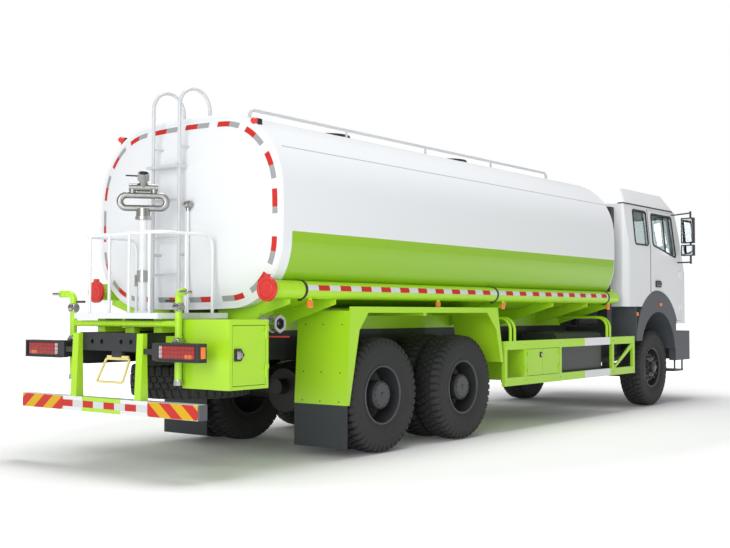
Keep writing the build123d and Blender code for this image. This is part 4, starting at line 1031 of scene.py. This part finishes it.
piece("lamp_guards", both_sides(joined(shade, sill, post)), black_plastic, "chassis")
print("tail lamps dressed")

# %% [markdown]
# ## Plate frame and rear hardware
# An empty wire frame for a number plate hangs below the end plate on a small hanger. It is a bar
# carried along a closed rounded loop.

# %% Plate frame
plate_top, plate_low = -5.150, -5.235
frame_corners = [
    (plate_top, 0.090, 0.962), (plate_top, -0.218, 0.962),
    (plate_low, -0.228, 0.765), (plate_low, 0.115, 0.765),
]
loop = tube(rounded_route(frame_corners, 0.02, closed=True), 0.012, (1, 0, 0.3), closed=True)
cross = rounded_box((plate_top - 0.008, -0.205, 0.955), (plate_top + 0.010, 0.078, 0.990), 0.1)
hanger = rounded_box((plate_top - 0.012, -0.120, 0.975), (plate_top + 0.030, 0.010, 1.034), 0.12)
piece("plate_frame", joined(loop, cross), plate_yellow, "chassis")
piece("plate_hanger", hanger, dark_iron, "chassis")
print("plate frame made")

# %% [markdown]
# ## Seats seen through the glass
# Cushions are crowned closed forms: a superellipsoid whose upper face swells between its edges. The
# cloth's weave comes from two crossed waves on Object coordinates.


# %% Seat cloth and cushions
def cloth_finish(name, colour, pitch=0.006):
    """Woven cloth: two crossed waves shade and raise the threads."""
    material, tree, shader, place = new_finish(name)
    x, y, z = axes(tree, place)
    weave = both(tree, wave(tree, math_node(tree, "ADD", x, z), pitch), wave(tree, y, pitch))
    toned = tinted(tree, span(tree, weave, -1, 1, 0, 1), tuple(c * 0.7 for c in colour), colour)
    coat_with(tree, shader, toned, span(tree, cloud(tree, place, 30.0), 0.3, 0.7, 0.8, 0.95))
    shader.inputs["Sheen Weight"].default_value = 0.3
    relief(tree, shader, weave, 0.3, 0.001)
    return material


seat_cloth = cloth_finish("seat_cloth", (0.085, 0.09, 0.105))
channel_width = 0.05
channel_depth = 0.012


def cushion(low, high, crown, channels):
    """Pad between two corners: its top swells by the crown and dips along the sewn channels."""
    points, faces = rounded_box(low, high, 0.32, rows=33, columns=64)
    low, high = np.asarray(low), np.asarray(high)
    share = (points - (low + high) / 2) / (high - low) * 2
    swell = np.clip(1 - share[:, 0] ** 2, 0, 1) * np.clip(1 - share[:, 1] ** 2, 0, 1)
    groove = np.exp(-((np.abs(share[:, 1]) - channels) / channel_width) ** 2)
    lift = (crown * swell - channel_depth * groove) * (share[:, 2] > 0.2)
    return points + np.stack([0 * lift, 0 * lift, lift], axis=1), faces


def back_rest(low, high, crown, channels, lean):
    """A cushion that stands: X and Z change places, and it leans back with height."""
    pad, faces = cushion((low[2], low[1], low[0]), (high[2], high[1], high[0]), crown, channels)
    pad = pad[:, [2, 1, 0]]
    pad[:, 0] -= lean * (pad[:, 2] - low[2])
    return pad, faces


seat_x = 3.95
seat_parts = []
for side, seat_y in (("right", -0.60), ("left", 0.60)):
    seat = np.array((seat_x, seat_y, 0))
    base = cushion(seat + (-0.26, -0.25, 1.745), seat + (0.27, 0.25, 1.875), crown=0.03, channels=0.62)
    back = back_rest(seat + (-0.29, -0.235, 1.88), seat + (-0.17, 0.235, 2.50), 0.025, 0.6, lean=0.13)
    head = rounded_box(seat + (-0.345, -0.125, 2.50), seat + (-0.255, 0.125, 2.655), 0.4, 21, 40)
    seat_parts += [base, back, head]
    stand = rounded_box(seat + (-0.24, -0.19, 1.505), seat + (0.22, 0.19, 1.75), 0.12)
    piece("seat_stand_" + side, stand, dash_plastic, "cab")
seat_pads = piece("seat_pads", joined(*seat_parts), seat_cloth, "cab")
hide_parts("seats")
print("seat cushions", len(seat_parts))

# %% [markdown]
# ## Cab trim
# Black rubber seals frame each window. The cab's sides lean in above the waist, so a seal's path is
# the window's outline with Y worked out from the height.

# %% Window seals
cab_half = 1.240
lean_start = 2.300
lean_total = 0.058
eave = 2.900


def cab_side(z):
    """Distance of the cab's side from the middle at a height: upright to the waist, then leaning in."""
    return cab_half - lean_total * np.clip((z - lean_start) / (eave - lean_start), 0, None)


def seal_on_side(outline, side, radius=0.013, bend=0.05):
    """A tube along a closed (X, Z) outline laid on the cab's side."""
    outline = np.asarray(outline, float)
    corners = np.stack([outline[:, 0], 0 * outline[:, 0], outline[:, 1]], axis=1)
    route = rounded_route(corners, bend, steps=7, closed=True)
    route[:, 1] = side * (cab_side(route[:, 2]) + 0.001)
    return tube(route, radius, (0, 1, 0), sides=8, closed=True)


def upright_bar(x, low, high, side, proud, radius, count):
    """A tube up the cab's side at one X, between two heights."""
    z = np.linspace(low, high, count)
    path = np.stack([np.full(count, x), side * (cab_side(z) + proud), z], axis=1)
    return tube(path, radius, (0, 1, 0), sides=8)


axle_x = 3.890
door_outline = [(-0.120, 2.815), (0.640, 2.815), (0.705, 2.200), (-0.145, 2.355)]
quarter_outline = [(-0.770, 2.830), (-0.310, 2.830), (-0.310, 2.340), (-0.770, 2.340)]
door_window = np.array(door_outline) + (axle_x, 0)
quarter_window = np.array(quarter_outline) + (axle_x, 0)
divider_x, shut_x = axle_x + 0.335, axle_x - 0.247
handle_z = 1.785
for name, side in (("right", -1), ("left", 1)):
    divider = upright_bar(divider_x, 2.268, 2.815, side, -0.008, 0.013, 6)
    window = joined(seal_on_side(door_window, side), divider)
    piece("door_seal_" + name, window, seal_rubber, "door_" + name)
    piece("quarter_seal_" + name, seal_on_side(quarter_window, side), seal_rubber, "cab")
    plate_middle = np.array((axle_x, side * 1.249, handle_z))
    pull_middle = np.array((axle_x, side * 1.262, handle_z))
    grip = rounded_box(plate_middle - (0.075, 0.012, 0.050), plate_middle + (0.115, 0.012, 0.050), 0.3)
    pull = rounded_box(pull_middle - (0.060, 0.010, 0.017), pull_middle + (0.100, 0.010, 0.017), 0.3)
    piece("door_handle_" + name, joined(grip, pull), black_plastic, "door_" + name)
    shut_line = upright_bar(shut_x, 1.660, 2.868, side, -0.001, 0.006, 16)
    piece("door_edge_seal_" + name, shut_line, seal_rubber, "cab")
print("window seals made")

# %% [markdown]
# ## Front: windscreen seal, wipers and drip rail
# The windscreen leans back, so the seal and the wiper blades are drawn upright in (Y, Z) and their X
# is worked out from the height. A drip rail follows the roof line. All are thin tubes, because a tube
# bends round corners without a kink.

# %% Windscreen and roof line
screen_foot_x, screen_foot_z = 5.080, 1.990
screen_rake = 0.340


def screen_x(z):
    """X of the raked windscreen at a height."""
    return screen_foot_x - screen_rake * (z - screen_foot_z) / (eave - screen_foot_z)


screen_corners = np.array([(0, -1.03, 2.06), (0, 1.03, 2.06), (0, 1.03, 2.82), (0, -1.03, 2.82)])
screen_route = rounded_route(screen_corners, 0.08, steps=7, closed=True)
screen_route[:, 0] = screen_x(screen_route[:, 2]) + 0.002
seal = tube(screen_route, 0.016, (1, 0, 0.37), sides=8, closed=True)
wipers = []
for pivot_y in (-0.70, 0.05):
    blade = np.array([(0, pivot_y + 0.02, 2.10), (0, pivot_y + 0.62, 2.20)])
    blade[:, 0] = screen_x(blade[:, 2]) + 0.022
    arm_end = (screen_x(2.15) + 0.03, pivot_y + 0.32, 2.15)
    arm = np.array([(5.090, pivot_y, 2.02), (5.100, pivot_y + 0.16, 2.06), arm_end])
    wipers.append(tube(np.linspace(blade[0], blade[1], 8), 0.010, (1, 0, 0), 6))
    wipers.append(tube(arm, 0.008, (1, 0, 0), 6))
piece("windscreen_seal", joined(seal, *wipers), seal_rubber, "cab")
drip_z = 2.905
drip_outline = [(2.835, -1.10), (2.835, -1.184), (4.62, -1.184), (4.735, -1.08)]
drip_right = np.array([(x, y, drip_z) for x, y in drip_outline])
drip_corners = np.concatenate([drip_right, drip_right[::-1] * (1, -1, 1)])
piece("drip_rail", tube(rounded_route(drip_corners, 0.04), 0.010, (0, 0, 1), 8), seal_rubber, "cab")
print("front trim made")

# %% [markdown]
# ## Headlamps
# Each bumper pocket holds two round lamps and an amber indicator. The lamps are turned domes in
# bright rings, standing on the CAD lens block.

# %% Headlamps
lens_x = lamp_high.x
dome_lens = moulded("dome_lens", (0.62, 0.66, 0.70), 0.12, 40.0, dust=0.02)
dome_profile = [(0, 0.012), (0.020, 0.011), (0.040, 0.008), (0.054, 0.003), (0.054, -0.004), (0, -0.004)]
ring_profile = [
    (0.053, -0.003), (0.053, 0.007), (0.058, 0.009), (0.064, 0.005), (0.064, -0.003), (0.053, -0.003),
]
dome = turned(dome_profile, (0, 0, 0), (1, 0, 0), 32)
ring = turned(ring_profile, (0, 0, 0), (1, 0, 0), 32)
lamp_places = [(lens_x, side * y, 0.870) for y in (0.775, 0.905) for side in (-1, 1)]
piece("headlamp_domes", copies(dome, lamp_places), dome_lens, "chassis")
piece("headlamp_rings", copies(ring, lamp_places), bright_steel, "chassis")
indicator = rounded_box((lens_x - 0.003, 0.985, 0.800), (lens_x + 0.008, 1.045, 0.940), 0.2)
piece("front_indicators", both_sides(indicator), amber_lens, "chassis")
print("headlamps at", np.round(lamp_places[0], 3))

# %% [markdown]
# ## Mirrors, markers and cab lamps
# Each door mirror has a tall glass over a small wide-angle one, both set in the CAD housing as thin
# rounded plates. They are silvered metal, which reflects sharply without any mirror trick. Small
# amber lamps stand on the arch flares.

# %% Mirror glass and amber markers
mirror_x = axle_x + 0.785
mirror_y = 1.405
glass_half = 0.082
glass_heights = ((2.243, 2.383), (2.435, 2.795))
for name, side in (("right", -1), ("left", 1)):
    glass = []
    for glass_low, glass_high in glass_heights:
        low = (mirror_x - 0.034, side * mirror_y - glass_half, glass_low)
        high = (mirror_x - 0.028, side * mirror_y + glass_half, glass_high)
        glass.append(rounded_box(low, high, 0.18))
    piece("mirror_glass_" + name, joined(*glass), mirror_glass, "door_" + name)
repeater = rounded_box((3.925, -1.2615, 1.462), (4.015, -1.247, 1.508), 0.4)
flare_marker = rounded_box((3.108, -1.2585, 1.318), (3.164, -1.243, 1.372), 0.4)
piece("flare_lamps", both_sides(joined(repeater, flare_marker)), amber_lens, "cab")
print("mirrors and markers made")

# %% [markdown]
# ## Latches on the boxes
# The tool box has a five-sided dark plate with a bright paddle; the cabinet leaves share a smaller
# one in the middle.


# %% Latches
def latch_plate(x, y, z, size):
    """Five-sided plate that points forward: its outline's two rings stand between two middle points."""
    outline = np.array([(-1, -1), (0.35, -1), (1.15, 0), (0.35, 1), (-1, 1)]) * size
    ring = np.stack([outline[:, 0] + x, np.full(5, y), outline[:, 1] + z], axis=1)
    middle = np.broadcast_to((x, y, z), (5, 3))
    front, back = (0, -0.007, 0), (0, 0.004, 0)
    points = np.concatenate([middle + front, ring + front, ring + back, middle + back])
    return points, quads(4, 5, wrap_columns=True)


# paddle and pivot: start and end along X and half the height, in sizes of the plate, and reach out of it
latch_parts = ((-0.62, 0.20, 0.70, 0.018), (0.30, 0.62, 0.45, 0.014))


def latch_paddle(x, y, z, size):
    """The paddle and its pivot: rounded boxes that stand proud of the plate."""
    parts = []
    for start, end, half, proud in latch_parts:
        low = (x + size * start, y - proud, z - size * half)
        high = (x + size * end, y - 0.002, z + size * half)
        parts.append(rounded_box(low, high, 0.3))
    return joined(*parts)


# name, place, half size and body
latches = (
    ("tool_box", -4.872, -1.251, 1.014, 0.052, "tool_box_door"),
    ("cabinet", 0.300, -1.246, 0.860, 0.032, "cabinet_leaf_rear"),
)
for name, x, y, z, size, body in latches:
    piece(name + "_latch_plate", latch_plate(x, y, z, size), black_plastic, body)
    piece(name + "_latch_paddle", latch_paddle(x, y, z, size), bright_steel, body)
print("latches made")

# %% [markdown]
# ## Valves, levers and spray ends
# Each riser has a ball valve with a lever, a plain valve below it, a flat spray head at the top and a
# capped end at the bottom. Levers are bars with a sleeve; bodies are turned.

# %% Pipework fittings
def even_profile(half):
    """A profile of two like halves: the second is the first backwards, with its heights' signs changed."""
    return half + [(radius, -height) for radius, height in reversed(half)]


spray_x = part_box("platform")[0].x + 0.102
spray_y = 0.706
valve_profile = even_profile([(0, -0.045), (0.030, -0.045), (0.030, -0.030), (0.046, -0.026)])
end_profile = [(0, -0.02), (0.041, -0.02), (0.041, 0.012), (0.034, 0.020), (0, 0.020)]
fittings, grips = [], []
for side in (-1, 1):
    base = np.array((spray_x, side * spray_y, 0))
    fittings.append(turned(valve_profile, base + (0, 0, 1.408), (0, 1, 0), 20))
    fittings.append(turned(valve_profile, base + (0, 0, 1.115), (1, 0, 0), 20))
    fittings.append(turned(end_profile, base + (0, 0, 0.772), (0, 0, 1), 8))
    lever = np.array([(0, 0.02, 1.448), (0, 0.05, 1.462), (0, 0.16, 1.462)]) * (1, -side, 1) + base
    fittings.append(tube(lever, 0.006, (1, 0, 0), 8))
    grips.append(tube(lever[1:], 0.010, (1, 0, 0), 8))
    fan = rounded_box((-0.030, -0.055, -0.012), (0.030, 0.055, 0.012), 0.3)
    fittings.append(copies(fan, (spray_x - 0.062, side * (spray_y + 0.150), 1.535)))
piece("pipe_fittings", joined(*fittings), bright_steel, "chassis")
piece("lever_grips", joined(*grips), black_plastic, "chassis")
outlet_x, outlet_z = tank_rear + 0.048, 1.266
outlet_middle = (outlet_x, 0, outlet_z)
hex_profile = [(0.053, -1.158), (0.084, -1.158), (0.084, -1.100), (0.078, -1.092), (0.053, -1.092)]
outlet_hex = turned(hex_profile, outlet_middle, (0, 1, 0), 6)
clamp_profile = [(0.0745, -1.080), (0.080, -1.078), (0.080, -1.060), (0.0745, -1.058)]
outlet_ring = turned(clamp_profile, outlet_middle, (0, 1, 0), 28)
piece("outlet_ring", joined(outlet_hex, outlet_ring), bright_steel, "chassis")
lever_path = [(outlet_x, -0.905, 1.170), (outlet_x + 0.06, -0.94, 1.150), (outlet_x + 0.24, -1.05, 1.148)]
piece("outlet_lever", tube(lever_path, 0.007, (0, 0, 1), 8), red_plastic, "chassis")
print("fittings", len(fittings))

# %% [markdown]
# ## Vent pipe, cannon handle and tube caps
# A thin vent pipe with a tap stands beside the ladder. The cannon's barrel has a slim handle that
# moves with it. The red tube caps carry a raised ring and a boss, both turned forms on the caps' rear
# faces.

# %% Vent pipe, handle and caps
vent_x, vent_y = tank_rear - 0.110, -0.155
deck_top = 1.361
vent_path = [(vent_x, vent_y, z) for z in (deck_top - 0.01, 1.9, 2.335)]
piece("vent_pipe", tube(vent_path, 0.013, (1, 0, 0), 10), white_paint, "chassis")
tap_profile = even_profile([(0, -0.055), (0.024, -0.055), (0.024, -0.035), (0.034, -0.030)])
tap = turned(tap_profile, (vent_x, vent_y, 2.360), (0.3, 1, 0.1), 18)
neck_profile = [(0, -0.045), (0.020, -0.045), (0.020, 0.01), (0, 0.01)]
neck = turned(neck_profile, (vent_x, vent_y, 2.345), (0, 0, 1), 14)
piece("vent_tap", joined(tap, neck), bright_steel, "chassis")
barrel_low, barrel_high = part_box("cannon_barrel")
barrel_mid = np.array((barrel_low + barrel_high) / 2)
handle_path = np.array([(-0.01, 0.03, 0.045), (-0.02, 0.10, 0.055), (-0.03, 0.205, 0.065)]) + barrel_mid
piece("cannon_handle", tube(handle_path, 0.007, (0, 0, 1), 8), seal_rubber, "cannon_barrel")
cap_middle = (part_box("tube_caps")[0].x, -tube_y, tube_z)
cap_ring_profile = [(0.074, 0.002), (0.074, -0.006), (0.079, -0.009), (0.084, -0.006), (0.084, 0.002)]
cap_ring = turned(cap_ring_profile, cap_middle, (1, 0, 0), 40)
cap_boss = turned([(0, -0.007), (0.030, -0.006), (0.036, 0.002)], cap_middle, (1, 0, 0), 28)
piece("cap_rings", both_sides(joined(cap_ring, cap_boss)), red_plastic, "chassis")
print("small fittings made")

# %% [markdown]
# ## Rim lamps on the tank and the intake hose
# Two small red lamps stand at the upper corners of the rear rim. The air intake's hose is a turned
# profile whose radius is a wave, like a real corrugated sleeve.

# %% Rim lamps and corrugated hose
lamp_profile = [(0, -0.070), (0.020, -0.068), (0.030, -0.055), (0.031, -0.028), (0, -0.028)]
lamp_stands, lamp_caps = [], []
for place in ((tank_rear + 0.040, -0.885, 3.072), (tank_rear + 0.040, 0.925, 3.078)):
    place = np.array(place)
    lamp_stands.append(rounded_box(place + (-0.030, -0.028, -0.055), place + (0.040, 0.028, 0.026), 0.3))
    lamp_caps.append(turned(lamp_profile, place, (1, 0, 0), 20))
piece("rim_lamp_bodies", joined(*lamp_stands), black_plastic, "chassis")
piece("rim_lamp_lenses", joined(*lamp_caps), red_plastic, "chassis")
intake_low, intake_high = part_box("air_intake")
intake_x = (intake_low.x + intake_high.x) / 2
intake_y = -1.0
fold_pitch = 0.026
fold_depth = 0.007
hose_z = np.linspace(1.52, 2.30, 118)
hose_radius = 0.071 + fold_depth * np.sin(2 * np.pi * hose_z / fold_pitch)
hose_profile = np.stack([hose_radius, hose_z], axis=1)
piece("intake_hose", turned(hose_profile, (intake_x, intake_y, 0), (0, 0, 1), 28), seal_rubber, "chassis")
collar_profile = [(0.064, 2.300), (0.088, 2.300), (0.094, 2.330), (0.094, 2.515), (0.064, 2.515)]
collar = turned(collar_profile, (intake_x, intake_y, 0), (0, 0, 1), 28)
piece("intake_collar", collar, engine_iron, "chassis")
slat = rounded_box((-0.088, -0.100, -0.006), (0.088, 0.100, 0.006), 0.15)
slat_places = [(intake_x - 0.004, intake_y, z) for z in np.linspace(2.58, 2.78, 7)]
piece("intake_slats", copies(slat, slat_places), seal_rubber, "chassis")
print("intake dressed")

# %% [markdown]
# ## Fasteners
# Rows of small round-headed bolts hold the mudguards and the side guards. One low dome is copied to
# all places at once.

# %% Bolts
bolt_profile = [(0, 0.0045), (0.004, 0.004), (0.0075, 0.0015), (0.008, -0.002), (0, -0.002)]
rear_dome = turned(bolt_profile, (0, 0, 0), (-1, 0, 0), 8)
side_dome = turned(bolt_profile, (0, 0, 0), (0, -1, 0), 8)
guard_rear_foot, guard_rear_top = -3.447, -3.388
flap_top, guard_sheet = 0.499, 1.380
wall_bolt_z = (0.53, 0.80, 1.25)
wall_bolt_y = (-0.70, 0.70, -0.92, 0.92, -1.15, 1.15)


def wall_x(z):
    """X of the mudguard's sloped rear wall at a height."""
    share = (z - flap_top) / (guard_sheet - flap_top)
    return guard_rear_foot + (guard_rear_top - guard_rear_foot) * share


bolt_rows = [(wall_x(z), y, z) for z in wall_bolt_z for y in wall_bolt_y]
piece("mudguard_bolts", copies(rear_dome, bolt_rows), dark_iron, "chassis")
side_rows = [(x, -1.2455, z) for x in (-0.53, -0.07, 0.80, 2.33, 3.01) for z in (0.57, 0.985)]
left_rows = copies(mirrored(side_dome), [(x, -y, z) for x, y, z in side_rows])
piece("guard_bolts", joined(copies(side_dome, side_rows), left_rows), bright_steel, "chassis")
print("bolts", len(bolt_rows) + 2 * len(side_rows), "triangles added", added_triangles)

# %% [markdown]
# ## Floor, light and sky
# The floor is pale and catches a soft shadow. The world is white to the camera and through glass, and
# gives an even, weaker fill. One large soft lamp straight above keeps the shadow under the truck, a
# lamp behind lights the head, and a weak one fills the left side.


# %% Stage
glow_start, glow_end = 5.5, 13.0
glow_oval = 2.6


def floor_finish():
    """Pale floor with a faint drift in tone; far out, its own light rises until it meets the backdrop."""
    material, tree, shader, place = new_finish("pale_floor")
    toned = tinted(tree, cloud(tree, place, 0.4), (0.84, 0.84, 0.85), (0.88, 0.88, 0.88))
    wire(tree, toned, shader.inputs["Base Color"])
    shader.inputs["Roughness"].default_value = 0.9
    shader.inputs["Specular IOR Level"].default_value = 0.1
    shader.inputs["Emission Color"].default_value = (1, 1, 1, 1)
    x, y, z = axes(tree, place)
    along = math_node(tree, "POWER", x, 2.0)
    across = math_node(tree, "MULTIPLY", math_node(tree, "POWER", y, 2.0), glow_oval)
    distance = math_node(tree, "SQRT", math_node(tree, "ADD", along, across))
    wire(tree, span(tree, distance, glow_start, glow_end, 0.03, 0.9), shader.inputs["Emission Strength"])
    return material


floor_half = 120.0
side_values = np.linspace(-floor_half, floor_half, 3)
grid_x, grid_y = np.meshgrid(side_values, side_values, indexing="ij")
floor_points = np.stack([grid_x, grid_y, 0 * grid_x - 0.001], axis=-1).reshape(-1, 3)
floor_mesh = bpy.data.meshes.new("floor")
floor_mesh.from_pydata(floor_points.tolist(), [], quads(3, 3)[:, ::-1].tolist())
floor_mesh.materials.append(floor_finish())
floor = bpy.data.objects.new("floor", floor_mesh)
bpy.context.scene.collection.objects.link(floor)

world = bpy.data.worlds.new("white_sky")
bpy.context.scene.world = world
world.use_nodes = True
sky = world.node_tree
path = sky.nodes.new("ShaderNodeLightPath")
seen = math_node(sky, "MAXIMUM", path.outputs["Is Camera Ray"], path.outputs["Is Transmission Ray"])
wire(sky, span(sky, seen, 0, 1, 0.37, 1.0), sky.nodes["Background"].inputs["Strength"])
sky.nodes["Background"].inputs["Color"].default_value = (1, 1, 1, 1)


def soft_lamp(name, place, target, size, power):
    """Square area lamp that points from its place to the target."""
    lamp = bpy.data.lights.new(name, "AREA")
    lamp.size = size
    lamp.energy = power
    made = bpy.data.objects.new(name, lamp)
    made.location = place
    heading = np.asarray(target, float) - np.asarray(place, float)
    tilt = math.atan2(math.hypot(heading[0], heading[1]), -heading[2])
    made.rotation_euler = (tilt, 0, math.atan2(heading[1], heading[0]) - math.pi / 2)
    bpy.context.scene.collection.objects.link(made)


soft_lamp("key", (-1.0, -0.5, 15.0), (-0.5, 0, 1.0), 6.5, 1550)
soft_lamp("rear_fill", (-17.0, -6.5, 5.0), (-3, 0, 1.5), 8.0, 1150)
soft_lamp("left_fill", (2.0, 15.0, 8.0), (0, 0, 1.5), 9.0, 300)
bpy.context.scene.view_settings.view_transform = "Standard"
print("stage ready")

# %% [markdown]
# ## The end
# The number of triangles that the new pieces added is printed.

# %% The end
print("triangles added", added_triangles)
